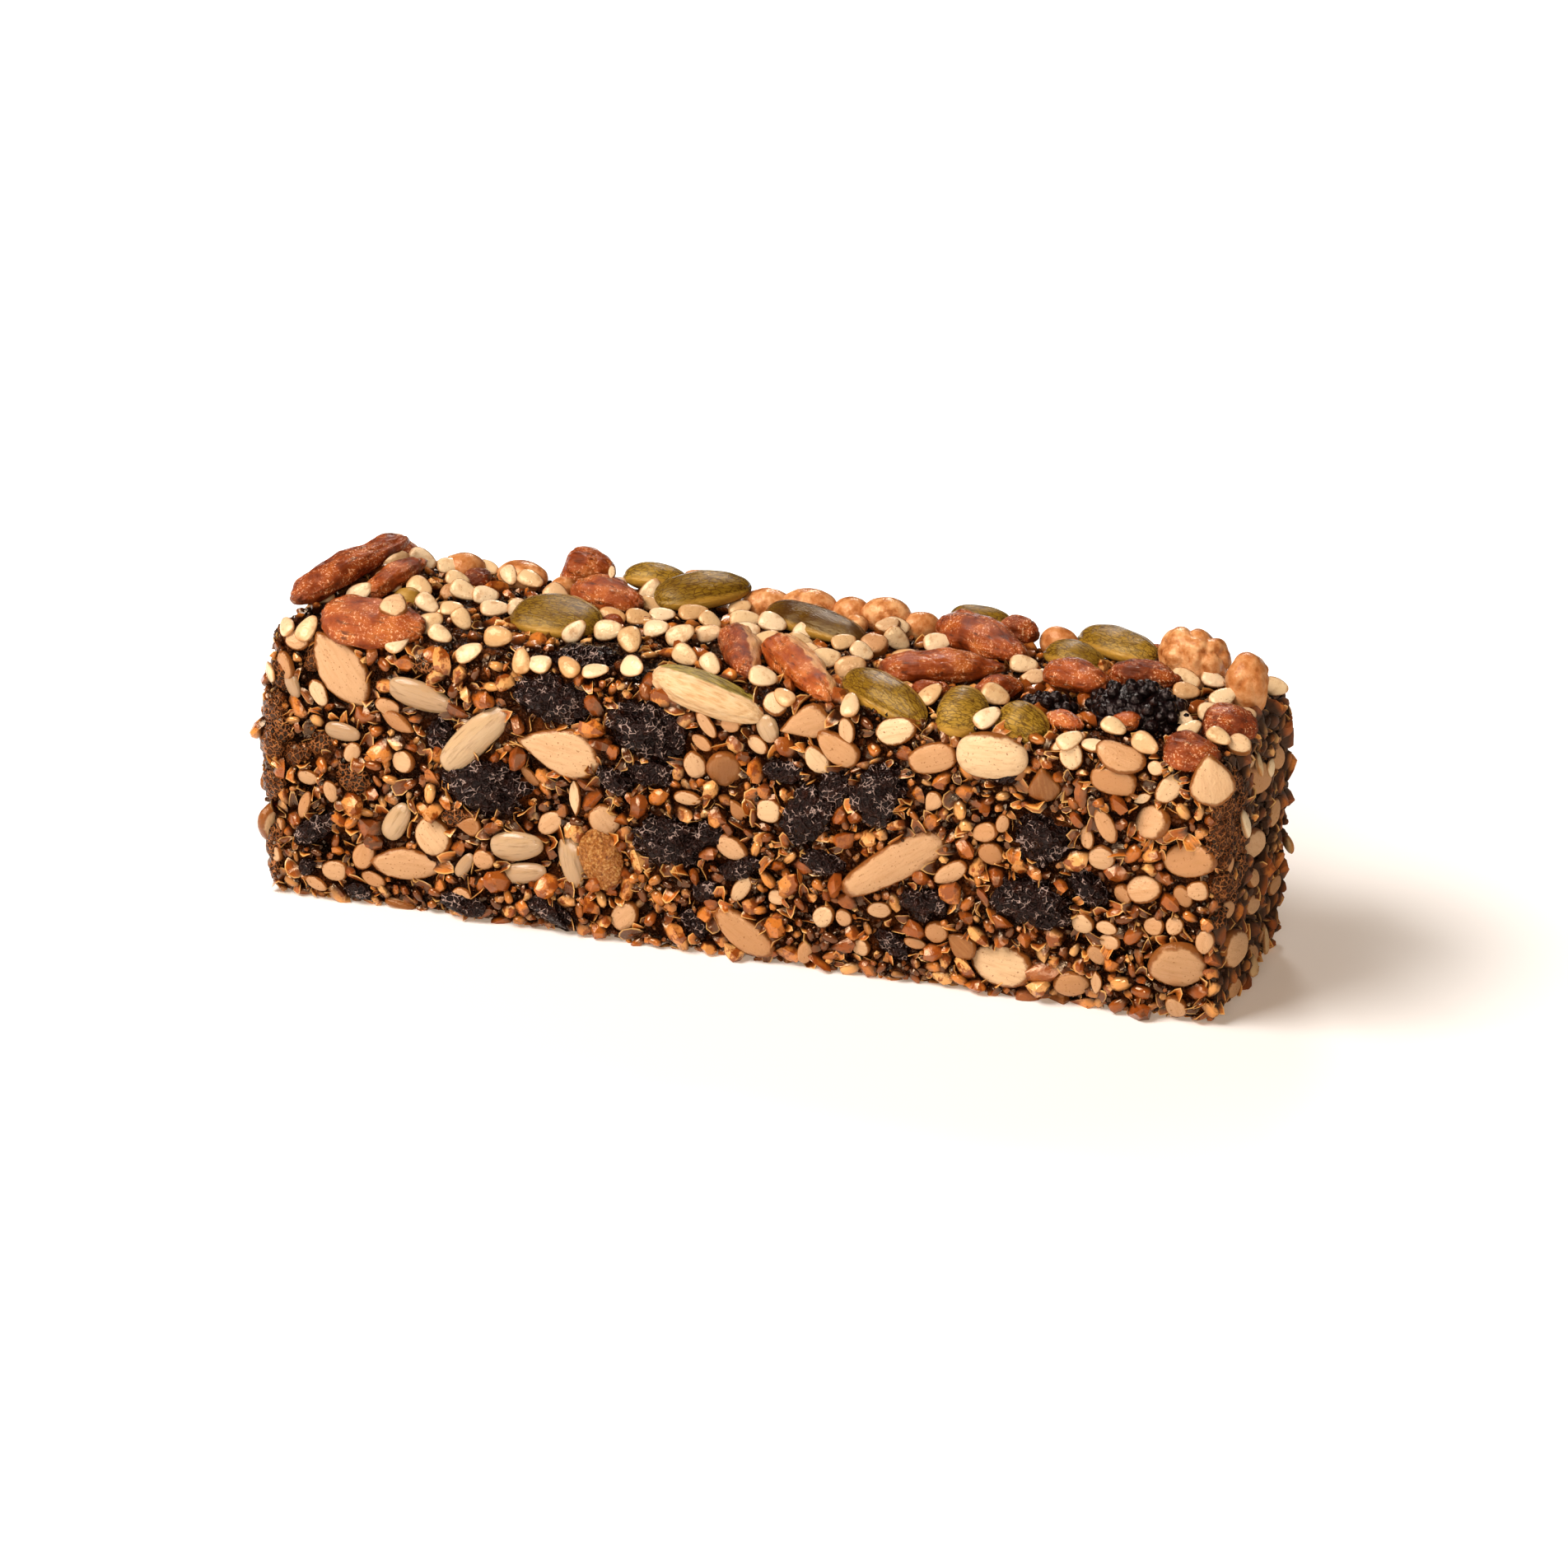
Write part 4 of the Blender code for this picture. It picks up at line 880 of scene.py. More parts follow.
def cutPieces():
    rows = [row if len(row) > 6 else (*row, "oval") for row in frontCuts + endCuts]
    x, height, lengths, widths, headings, tones = np.array([row[:6] for row in rows], float).T
    forms = np.array([cutForms[row[6]] for row in rows])
    front = len(frontCuts)
    ends = np.stack([np.full(len(endCuts), blockHalf[0]), x[front:], height[front:] - blockHalf[2]], -1)
    # Nuts over the other sides, the largest first, clear of each other
    many = cuts["tries"]
    more = anySpots(many, cuts["otherSides"], 0.9)
    moreLengths = np.geomspace(*cuts["otherLengths"], many) * draw.uniform(0.9, 1.1, many)
    kept = spaced(blockSurface(more)[0], moreLengths, None, 1.0)[0][:cuts["others"]]
    count = len(kept)
    lengths = np.append(lengths, moreLengths[kept])
    widths = np.append(widths, moreLengths[kept] * draw.uniform(0.5, 0.85, count))
    headings = np.append(headings, draw.uniform(0, 180, count))
    drawn = draw.choice(len(cutForms), count, p=(0.5, 0.12, 0.14, 0.12, 0.12))
    pointed, taper, bend = np.concatenate([forms, np.array(list(cutForms.values()))[drawn]]).T
    tones = np.append(tones, draw.uniform(0.25, 0.95, count))
    spots = np.concatenate([frontSpots(x[:front], height[:front]), ends / blockHalf, more[kept]])
    places, normals = blockSurface(spots)
    thick = np.minimum(widths, cuts["mostWidth"]) * cuts["thick"]
    grid = closedGrid(cuts["rings"], cuts["sides"])
    halves = np.stack([lengths, widths, thick], -1) / 2
    count = len(spots)
    bend = bend * draw.uniform(0.8, 1.2, count)
    form, rim = sliceForm(grid, halves, pointed, taper, bend, draw.uniform(0.01, 0.035, count))
    form[..., 2] += 0.06 * smoothNoise(form * 0.9 + shifts(count), 31)
    axes = facingAxes(normals, headings, draw.normal(0, cuts["tilt"], count), draw.normal(0, cuts["tilt"], count))
    middles = places - normals * (thick * cuts["sunk"])[:, None]
    scatter("cutNuts", grid, form, middles, axes, 55, tones, rim=rim)
    return footprints(places, axes, lengths, widths)


glassy = dict(
    rings=14, sides=16, thick=0.55, mostThick=2.2, others=26, otherLengths=(3.5, 7.5), shares=(0.42, 0.6),
)


def glassySeeds():
    rows = np.array(frontGlassy)
    others = anySpots(glassy["others"], (1, 0, 0, 1, 0.5, 0), 0.88)
    lengths, widths, headings = withMore(rows, len(others), glassy["otherLengths"], glassy["shares"])
    places, normals = blockSurface(np.concatenate([frontSpots(rows[:, 0], rows[:, 1]), others]))
    thick = np.minimum(widths * glassy["thick"], glassy["mostThick"])
    grid = closedGrid(glassy["rings"], glassy["sides"])
    form = seedForm(grid, np.stack([lengths, widths, thick], -1) / 2, 0.12, 0.75)
    form *= (1 + 0.05 * smoothNoise(form * 0.5 + shifts(len(form)), 32))[..., None]
    axes = facingAxes(normals, headings, draw.normal(0, 6, len(form)), draw.normal(0, 5, len(form)))
    scatter("glassySeeds", grid, form, places, axes)
    return footprints(places, axes, lengths, widths)


raisins = dict(
    rings=32, sides=38, thick=0.66, mostThick=4.4, depth=0.5, spacing=1.7, sunk=0.1,
    others=30, otherLengths=(4.0, 10.0), shares=(0.55, 0.8),
)


def raisinPieces():
    rows, top = np.array(frontRaisins + topRaisins), np.array(topRaisins)
    front = rows[:len(frontRaisins)]
    others = anySpots(raisins["others"], (0.4, 0, 0, 1, 0.6, 0), 0.8)
    spots = np.concatenate([frontSpots(front[:, 0], front[:, 1]), topSpots(top[:, 0], top[:, 1]), others])
    lengths, widths, headings = withMore(rows, len(others), raisins["otherLengths"], raisins["shares"])
    places, normals = blockSurface(spots)
    thick = np.minimum(widths * raisins["thick"], raisins["mostThick"])
    grid = closedGrid(raisins["rings"], raisins["sides"])
    form = wornForm(grid, np.stack([lengths, widths, thick], -1) / 2, raisins["depth"], raisins["spacing"])
    axes = facingAxes(normals, headings)
    scatter("raisins", grid, form, places - normals * (thick * raisins["sunk"])[:, None], axes)
    return footprints(places, axes, lengths, widths * 0.95)


crust = dict(
    rings=20, sides=24, thick=0.7, depth=0.42, spacing=0.9, sunk=0.32, strip=34, leftEnd=26,
    otherLengths=(2.4, 4.6), shares=(0.7, 0.95),
)


def crustLumps():
    # Listed lumps at the left edge, a strip of them beside the front edge of the right end,
    # and more at the left end
    rows = np.array(frontCrust)
    spots = [frontSpots(rows[:, 0], rows[:, 1])]
    strips = ((1, crust["strip"], (-1, -0.45), (-0.2, 0.85)), (-1, crust["leftEnd"], (-1, 1), (-0.9, 0.9)))
    for x, count, y, z in strips:
        spots.append(np.stack([np.full(count, float(x)), draw.uniform(*y, count), draw.uniform(*z, count)], -1))
    places, normals = blockSurface(np.concatenate(spots))
    more = draw.uniform(*crust["otherLengths"], len(places) - len(rows))
    lengths = np.append(rows[:, 2], more)
    widths = np.append(rows[:, 3], more * draw.uniform(*crust["shares"], len(more)))
    thick = widths * crust["thick"]
    grid = closedGrid(crust["rings"], crust["sides"])
    form = wornForm(grid, np.stack([lengths, widths, thick], -1) / 2, crust["depth"], crust["spacing"])
    axes = facingAxes(normals, np.append(rows[:, 4], draw.uniform(0, 180, len(more))))
    scatter("crustLumps", grid, form, places - normals * (thick * crust["sunk"])[:, None], axes)
    return footprints(places, axes, lengths * 0.8, widths * 0.7)


amber = dict(
    rings=30, sides=36, place=(-15.6, 9.6), sizes=(7.6, 4.9, 2.8), turn=-65.0, depth=0.22, spacing=1.8, reach=5.0,
)


def amberPiece():
    # One rough amber piece low in the front wall
    grid = closedGrid(amber["rings"], amber["sides"])
    places, normals = blockSurface(frontSpots(*np.array(amber["place"])[:, None]))
    form = wornForm(grid, np.array([amber["sizes"]]) / 2, amber["depth"], amber["spacing"])
    scatter("amberPiece", grid, form, places, facingAxes(normals, np.array([amber["turn"]])))
    return places, np.array([amber["reach"]])


# Sesame on the top, where each is seen on a level plane: x, y
topSesame = [
    (-57.3, -13.3), (-54.5, -13.5), (-52, -2.3), (-50, 1.3), (-46, 1.7), (-43.2, -2.5), (-41, 3.3),
    (-38.3, 3.5), (-37.3, -0.2), (-40, -2.7), (-37.3, -6), (-40.5, -8), (-38, -10.5), (-46.3, 11.2),
    (-42.5, 14), (-41.5, 16.5), (-39, 12.5), (-36, 12), (-34, 13.5), (-50.5, 22), (-23.5, 6.7), (-18.7, 3),
    (-18, -1), (-20, -3.5), (-16.5, 5), (-15.3, -0.2), (-16.5, -5.5), (-13.5, 7.5), (-11.5, 9), (-9.3, 12),
    (-12, -1), (-13, -4.5), (-9, 0.5), (-9, -7.5), (-10.7, -9.2), (-5, -10), (-3.5, -7.5), (-7, 7.3),
    (-10, 17.5), (-7, 18.5), (-2, 19), (1, 18), (3.5, 17), (6, 15.5), (8, 20.5), (12.5, 18), (12.5, 14),
    (10, 12.5), (11.7, 7.5), (16.3, 8.3), (0.7, 7), (1.7, 2), (4.3, -1.5), (6.3, 4), (9.5, 1), (6.5, -3),
    (46.3, 6.5), (47.5, 2.5), (48.7, 2), (52, 1.5), (53.5, 6.5), (43, -12), (38.7, -15.5), (41.8, -16.5),
    (49.5, -7), (51, -9.5), (54.5, -11), (28, 4), (28, -7.3), (-42.8, -18.7), (-41.1, -18.3), (-37.4, -18.1),
    (-37, -24.9), (-33.8, -22.9), (-32.5, -14.6), (-31.1, -9.9), (-27.3, -15.7), (-25.1, -14.4), (-23.2, -16.8),
    (-21.3, -14.5), (-52.5, 0.7), (-50.3, 3.6), (-46.4, 4.4), (-43.5, -0.1), (-40.8, -5), (-38.2, -3.8),
    (-39, -8.4), (-40.8, -0.4), (-39.3, 6.3), (-37.6, 3), (-41.7, 6.1), (-51, 25), (-43.4, 16.7), (-41.9, 19.5),
    (-40, 14.1), (-42.5, 14), (-20.6, -0.6), (-18.8, 1.4),
]
sesame = dict(
    rings=9, sides=12, length=(2.9, 3.8), width=(0.64, 0.76), thick=(0.2, 0.26), rise=0.6,
    seenHeight=0.8, towards=50, others=100, tries=1500, otherSides=(0.05, 0.05, 0, 0.06, 0, 1.5),
    # Places left free of sesame: x, y, reach
    bare=(
        (-31.0, -9.5, 6.5), (-46.5, 5.0, 3.5), (-33.5, 3.5, 3.0), (14.0, -6.0, 3.0), (33.0, 0.0, 15.0),
        (-45.0, -5.0, 7.0),
    ),
)


def tipped(normals, turn, which=True):
    # Directions turned towards the viewer's long side, where which is true
    turned = np.where(which, normals * np.cos(turn) + np.array([[0.2, -1.0, 0.0]]) * np.sin(turn), normals)
    return turned / np.linalg.norm(turned, axis=1, keepdims=True)


def sesameSeeds():
    # The seen seeds as listed, then more over the top and a few in the walls, all clear of each other
    # and the toppings
    rows = np.array(topSesame)
    back = cameraAxes()[2]
    slide = back / back[2] * sesame["seenHeight"]
    spots = topSpots(rows[:, 0] + slide[0], rows[:, 1] + slide[1])
    places, normals = blockSurface(np.concatenate([spots, anySpots(sesame["tries"], sesame["otherSides"])]))
    lengths = draw.uniform(*sesame["length"], len(places))
    hand = len(rows)
    free = clearOf(places, 0.7)
    for x, y, radius in sesame["bare"]:
        free &= np.hypot(places[:, 0] - x, places[:, 1] - y) > radius
    free[:hand] = clearOf(places[:hand], -0.9)
    # Rows look closer from the camera, so that distances from front to back count half
    squat = places * [1, 0.5, 1]
    seen, order = np.flatnonzero(free[:hand]), hand + np.flatnonzero(free[hand:])
    kept, near = spaced(squat[seen], lengths[seen], None, 0.62)
    more, _ = spaced(squat[order], lengths[order], near, 0.8)
    chosen = np.concatenate([seen[kept], order[more][:sesame["others"]]])
    count = len(chosen)
    places, normals, lengths = places[chosen], normals[chosen], lengths[chosen]
    halves = shareSizes(lengths, sesame["width"], sesame["thick"])
    # On the top they are tipped towards the long front side, by a spread of angles
    facing = normals[:, 2:] > 0.8
    tip = np.radians(draw.normal(sesame["towards"], 9, (count, 1)))
    middles = places + normals * (halves[:, 2:] + sesame["rise"] * facing)
    headings = np.where(facing[:, 0], draw.normal(0, 25, count), draw.uniform(0, 180, count))
    axes = facingAxes(tipped(normals, tip, facing), headings, draw.normal(0, 8, count), draw.normal(0, 10, count))
    grid = closedGrid(sesame["rings"], sesame["sides"])
    form = seedForm(grid, halves, 0.26, 0.84, 1.1)
    scatter("sesame", grid, form, middles, axes, rim=np.abs(np.cos(grid[1])), along=-np.cos(grid[0]))
    return places, lengths


# Bits set one by one on the top: x, y, rise, length, width, thickness, heading, tip towards the viewer, tone
topBits = dict(
    backNuts=[
        (-44.4, 11.2, 1.3, 5.4, 4.6, 4.4, 20, 0, 0.9), (-37.4, 12.4, 1.1, 7.0, 4.4, 4.2, 0, 0, 0.4),
        (-6.3, 12.9, 1.1, 6.4, 4.2, 4.2, 10, 0, 0.45), (-1.2, 13.2, 1.5, 7.2, 4.6, 4.2, 10, 0, 0.3),
        (4.2, 13.4, 1.3, 5.0, 4.2, 4.4, -20, 0, 0.6), (8.6, 12.8, 1.8, 6.6, 4.8, 4.8, 0, 0, 0.2),
        (13.0, 13.0, 0.9, 4.8, 3.6, 3.8, 30, 0, 0.7), (29.8, 12.4, 1.2, 4.8, 3.0, 4.0, 0, 0, 0.9),
        (16.6, 8.6, 0.6, 3.0, 2.6, 2.6, 0, 0, 0.5), (-3.6, 7.8, 0.8, 3.6, 2.8, 2.6, 40, 0, 0.6),
        (0.6, 10.4, 1.4, 3.4, 2.8, 2.8, 10, 0, 0.1), (6.0, 9.6, 1.2, 3.2, 2.6, 2.6, -30, 0, 0.2),
        (-14.0, 11.4, 0.8, 3.4, 2.6, 2.6, 20, 0, 0.3), (-31.0, 9.8, 1.0, 3.2, 2.6, 2.6, 20, 0, 0.5),
    ],
    topCuts=[
        (-43.6, -11.9, 3.1, 3.4, 3.2, 1.2, 0, 42, 0.8), (-14.4, 14.6, 2.7, 5.6, 2.4, 2.2, 0, 10, 0.5),
        (10.6, 2.2, 1.4, 3.4, 3.0, 2.0, 0, 35, 0.5), (57.4, -12.2, 0.3, 3.0, 2.4, 1.6, -20, 50, 0.9),
        (-24.0, 7.6, 4.4, 2.2, 0.9, 0.5, -70, 30, 1.0), (-42.4, 1.8, 1.1, 2.6, 2.2, 1.6, 60, 40, 0.4),
        (9.8, 9.8, 1.4, 3.2, 2.2, 1.6, 15, 40, 0.8), (31.0, -2.2, 1.5, 3.0, 2.0, 1.3, 10, 45, 0.85),
    ],
    topReds=[
        (41.4, 12.4, 1.7, 3.2, 2.4, 2.2, -10, 10, 0.55),
        (-41.6, 8.4, 1.2, 3.6, 3.2, 2.6, 30, 20, 0.2), (-20.8, -0.6, 1.0, 3.0, 2.4, 1.8, 30, 30, 0.5),
        (-2.6, -4.6, 0.7, 3.0, 2.0, 1.6, -30, 20, 0.6), (44.6, -12.2, 1.3, 3.4, 2.4, 2.0, 20, 30, 0.7),
    ],
    topGreens=[(-45.9, -2.4, 1.2, 3.4, 2.8, 2.4, 10, 30, 0.3)],
)


def placeTopBits():
    found = []
    for name, rows in topBits.items():
        rows = np.array(rows)
        grid = closedGrid(16, 20)
        middles = rows[:, :3] + [0, 0, block["height"]]
        if name == "topCuts":
            same = np.ones(len(rows))
            form, _ = sliceForm(grid, rows[:, 3:6] / 2, 0.1 * same, 0.12 * same, 0 * same, 0.05 * same)
        else:
            form = wornForm(grid, rows[:, 3:6] / 2, 0.07 if name == "backNuts" else 0.16, 2.4)
        axes = facingAxes(tipped(np.array([[0.0, 0.0, 1.0]]), np.radians(rows[:, 7:8])), rows[:, 6])
        rim = np.sin(grid[0]) ** 0.45
        scatter(name, grid, form, middles, axes, None, rows[:, 8], rim=rim, along=-np.cos(grid[0]))
        found.append((middles, rows[:, 3]))
    return found


# Small pieces between the large ones: how many are tried over which sides, size from largest to smallest
smallKinds = dict(
    toastedSeeds=dict(tries=6000, sides=(1.1, 0.7, 1.1, 1.1, 0.7, 0.1), sizes=(2.7, 1.3), close=0.82, most=900),
    choppedNuts=dict(tries=14000, sides=(1.1, 0.9, 1.1, 1.1, 0.7, 0.2), sizes=(3.1, 1.0), close=0.64, most=2400),
    huskFlakes=dict(tries=14000, sides=(1.1, 0.7, 1.2, 1.1, 0.7, 0.2), sizes=(3.1, 1.2), close=0.48, most=2700),
)


def smallPieces(taken):
    made = []
    for kind in smallKinds.values():
        places, normals = blockSurface(anySpots(kind["tries"], kind["sides"]))
        sizes = np.linspace(*kind["sizes"], kind["tries"]) * draw.uniform(0.85, 1.15, kind["tries"])
        order = np.flatnonzero(clearOf(places, 0.2))
        kept, taken = spaced(places[order], sizes[order], taken, kind["close"])
        chosen = order[kept][:kind["most"]]
        made.append((len(chosen), places[chosen], normals[chosen], sizes[chosen]))

    count, places, normals, sizes = made[0]
    grid = closedGrid(5, 7)
    halves = shareSizes(sizes, (0.5, 0.72), (0.38, 0.55))
    axes = facingAxes(normals, draw.uniform(0, 360, count), draw.normal(0, 16, count), draw.normal(0, 22, count))
    middles = places + normals * (halves[:, 2:] * 0.1 - 0.1)
    scatter("toastedSeeds", grid, seedForm(grid, halves, 0.22, 0.8), middles, axes, along=-np.cos(grid[0]))

    count, places, normals, sizes = made[1]
    form = choppedForm(grid, shareSizes(sizes, (0.6, 0.9), (0.5, 0.8)) * 1.2, 6)
    axes = facingAxes(normals, draw.uniform(0, 360, count), *draw.uniform(-50, 50, (2, count)))
    scatter("choppedNuts", grid, form, places - normals * 0.15, axes, 38)

    count, places, normals, sizes = made[2]
    grid = closedGrid(4, 9)
    halves = np.stack([sizes, sizes * draw.uniform(0.4, 0.75, count), draw.uniform(0.18, 0.34, count)], -1) / 2
    form, rim = flakeForm(grid, halves, draw.normal(0.5, 0.35, count))
    axes = facingAxes(normals, draw.uniform(0, 360, count), draw.normal(0, 32, count), draw.normal(0, 26, count))
    middles = places - normals * draw.uniform(0.0, 0.5, (count, 1))
    scatter("huskFlakes", grid, form, middles, axes, 75, rim=rim)


crumbs = dict(count=11000, sides=(1, 1, 1.2, 1, 0.7, 0.45), size=(0.45, 1.2), sunk=(0.1, 0.9))
beads = dict(count=4800, sides=(0.12, 0.12, 0.3, 0.1, 0, 1), size=(0.42, 0.8), sunk=(0.1, 0.6))


def offLarge(look, large, share=0.42):
    # Random places and normals, farther than a share of its reach from every large piece's disc
    spots = anySpots(look["count"], look["sides"])
    places, _ = blockSurface(spots)
    middles, reaches = large
    gaps = np.sum(places ** 2, 1)[:, None] + np.sum(middles ** 2, 1) - 2 * places @ middles.T
    places, normals = blockSurface(spots[np.all(gaps > (share * reaches) ** 2, axis=1)])
    return places, normals, len(places)


def crumbPieces(large):
    places, normals, count = offLarge(crumbs, large)
    sizes = draw.uniform(*crumbs["size"], (count, 1))
    grid = closedGrid(3, 5)
    form = choppedForm(grid, sizes * draw.uniform(0.6, 1.0, (count, 3)) / 2 * 1.2, 5)
    axes = facingAxes(normals, draw.uniform(0, 360, count), *draw.uniform(-60, 60, (2, count)))
    middles = places - normals * draw.uniform(*crumbs["sunk"], (count, 1))
    scatter("crumbs", grid, form, middles, axes, 30)

    places, normals, count = offLarge(beads, large)
    halves = draw.uniform(*beads["size"], (count, 1)) * draw.uniform(0.75, 1.0, (count, 3)) / 2
    grid = closedGrid(4, 5)
    form = seedForm(grid, halves, 0.0, 1.0)
    axes = facingAxes(normals, draw.uniform(0, 360, count), draw.uniform(-60, 60, count))
    middles = places - normals * draw.uniform(*beads["sunk"], (count, 1))
    scatter("blackBeads", grid, form, middles, axes)


# Toppings, as in the solid: (x, y, rise above the block), (x, y, rise), width, thickness, roll, then tone and arch
almonds = [
    ((-58.0, -9.4, 1.4), (-49.9, 6.6, 6.0), 5.2, 3.6, 0, 0.42, 0.5),
    ((-58.4, 11.0, 1.6), (-49.2, 12.0, 1.2), 5.2, 4.4, 0, 0.3, 2.2),
    ((-50.2, -4.2, 2.0), (-47.2, 6.0, 3.6), 3.6, 2.8, 0, 0.6, 0.5),
    ((-52.4, -12.2, 1.0), (-39.4, -12.0, 0.8), 7.4, 4.6, 28, 0.6, -0.4),
    ((-32.4, 13.2, 2.4), (-25.8, 13.8, 2.6), 6.4, 5.0, 0, 0.62, 0.4),
    ((-28.6, 7.4, 2.0), (-18.8, 4.0, 1.9), 6.0, 4.4, 12, 0.66, 0.5),
    ((-6.0, 0.4, 1.7), (0.8, -13.0, 1.0), 4.6, 3.8, 0, 0.5, 0.2),
    ((-0.6, -2.6, 2.1), (11.4, -15.0, 0.1), 5.0, 4.0, 10, 0.8, 0.3),
    ((16.0, 11.4, 2.4), (28.4, 3.2, 2.1), 5.8, 4.4, 8, 0.5, 0.4),
    ((22.6, 12.8, 2.4), (28.0, 11.5, 2.3), 3.4, 3.6, 0, 0.3, 0.2),
    ((14.0, -6.8, 1.8), (27.4, -1.0, 2.0), 4.8, 3.6, 10, 0.6, 0.3),
    ((19.0, -10.3, 1.1), (23.2, -8.9, 1.1), 2.4, 2.4, 10, 0.5, 0.0),
    ((26.4, -9.0, 1.2), (30.4, -4.4, 1.4), 3.6, 2.8, 20, 0.45, 0.2),
    ((32.6, -2.7, 2.8), (40.6, -5.5, 2.9), 4.6, 3.6, 15, 0.55, 0.4),
    ((38.8, 1.0, 2.3), (47.4, 2.2, 2.1), 4.2, 3.4, 0, 0.3, 0.3),
    ((35.8, -12.2, 0.8), (40.2, -14.0, 0.4), 2.4, 2.2, 15, 0.7, 0.0),
    ((52.4, -9.0, 1.2), (58.6, -8.3, 1.1), 5.6, 3.8, 15, 0.35, 0.3),
    ((49.8, -15.4, -0.2), (56.2, -15.1, -0.4), 5.0, 3.4, 34, 0.4, 0.2),
]
pumpkinSeeds = [
    ((-32.0, -3.2, 1.8), (-21.0, -4.0, 1.6), 7.3, 3.2, 20, 0.5, 0.2),
    ((-25.0, 14.8, 2.2), (-17.0, 14.7, 2.2), 4.4, 3.2, 8, 0.8, 0.2),
    ((-18.2, 7.0, 2.2), (-8.6, 13.2, 3.4), 6.2, 3.6, 18, 0.5, 0.3),
    ((-4.9, 9.9, 1.9), (8.8, 3.8, 1.4), 5.0, 3.2, 15, 0.05, 0.2),
    ((-10.2, -14.4, 0.1), (3.4, -15.0, -3.0), 4.4, 4.6, 62, 0.8, 0.0),
    ((11.4, -9.4, 1.5), (22.2, -15.4, -0.7), 5.0, 3.4, 25, 0.55, 0.2),
    ((23.4, -13.7, 0.2), (29.0, -13.6, 0.2), 6.4, 4.0, 38, 0.85, 0.0),
    ((30.4, -13.1, 0.6), (36.2, -14.9, -0.6), 4.7, 3.4, 40, 0.75, 0.0),
    ((15.8, 14.9, 2.2), (23.0, 15.5, 2.2), 4.0, 3.0, 5, 0.5, 0.0),
    ((29.6, 8.6, 1.7), (36.6, 6.0, 1.5), 4.6, 3.0, 15, 0.6, 0.2),
    ((32.0, 14.8, 2.1), (42.0, 10.2, 1.9), 5.2, 3.2, 15, 0.7, 0.2),
]
cutSeeds = [
    ((26.6, -16.7, -3.5), (34.9, -16.9, -3.1), 5.5, 3.0, 90, 0.95, 0.0),
]
driedFruit = [
    ((39.2, -7.6, 1.0), (50.6, -8.6, 0.9), 9.0, 6.0, 14, 0.5, 0.0),
    ((31.4, -8.6, 0.7), (38.2, -9.4, 0.8), 3.2, 3.0, 10, 0.6, 0.0),
]
walnuts = [
    ((42.8, 8.4, 2.7), (51.2, 8.0, 2.6), 6.0, 7.6, 0, 0.2, 0.0),
    ((52.0, 3.1, 2.4), (57.2, 2.6, 2.2), 6.1, 7.2, 0, 0.8, 0.0),
]


def rowFrame(row):
    # Middle, half sizes and rows along, across and up, turned by the roll about along
    start, end = (np.array(p) + [0, 0, block["height"]] for p in row[:2])
    length = np.linalg.norm(end - start)
    along = (end - start) / length
    across = np.cross([0, 0, 1], along)
    across /= np.linalg.norm(across)
    up = np.cross(along, across)
    turn = math.radians(row[4]) * (-1 if along[0] < 0 else 1)
    across, up = across * math.cos(turn) + up * math.sin(turn), up * math.cos(turn) - across * math.sin(turn)
    return (start + end) / 2, np.array([length, row[2], row[3]]) / 2, np.stack([along, across, up])


def clearOf(places, margin):
    # True where a place is outside every topping, each taken as an ellipsoid grown by the margin
    free = np.ones(len(places), bool)
    for look in toppings.values():
        for middle, halves, axes in map(rowFrame, look["rows"]):
            local = (places - middle) @ axes.T / (halves + margin)
            free &= np.sum(local * local, axis=1) > 1
    return free


def toppingBody(grid, halves, blunt, arch):
    # The solid's own rings: x = -cos a, radius = sin(a)^0.85 (1 + 0.35 blunt cos a), arched by arch (1 - x^2)
    a, b, _ = grid
    radius = np.sin(a) ** 0.85 * (1 + 0.35 * blunt * np.cos(a))
    body = np.stack([-np.cos(a), radius * np.cos(b), radius * np.sin(b)], -1) * halves
    body[:, 2] += arch * (0.5 - np.cos(a) ** 2)
    return body


# Reliefs give each point's rise in millimetres
def almondRelief(body, number, b):
    # Long wrinkles: a ridged noise drawn out along the nut, over slow lumps and a few dents
    wrinkle = np.abs(smoothNoise(body * [0.22, 1.15, 1.15] + number * 7.3, 41))
    finer = np.abs(smoothNoise(body * [0.5, 2.4, 2.4] + number * 3.1, 42))
    lump = smoothNoise(body * 0.42 + number * 5.7, 43)
    return 0.34 * lump - 0.5 * (0.4 - wrinkle).clip(0, 1) - 0.14 * finer


def pumpkinRelief(body, number, b):
    # A bead round the edge with a groove inside it, and a slow waviness of the faces
    edge = np.abs(np.cos(b))
    bead = 0.16 * np.exp(-((1 - edge) / 0.08) ** 2) - 0.14 * np.exp(-((edge - 0.86) / 0.06) ** 2)
    return bead + 0.12 * smoothNoise(body * 0.5 + number * 4.9, 44)


def fruitRelief(body, number, b):
    # Round beads about a millimetre across, over slow lumps
    bead = np.clip(1 - beadBumps(body / 1.15 + number * 6.1, 45) ** 2 * 2.4, 0, 1) ** 0.5
    return 0.3 * bead - 0.5 + 0.3 * smoothNoise(body * 0.35 + number, 46)


def walnutRelief(body, number, b):
    # Lobes and brain-like folds: ridged noise at two scales
    fold = np.abs(smoothNoise(body * 0.3 + number * 8.8, 47))
    fine = np.abs(smoothNoise(body * 0.7 + number * 2.2, 48))
    return 1.0 * fold ** 0.7 + 0.3 * fine - 0.55


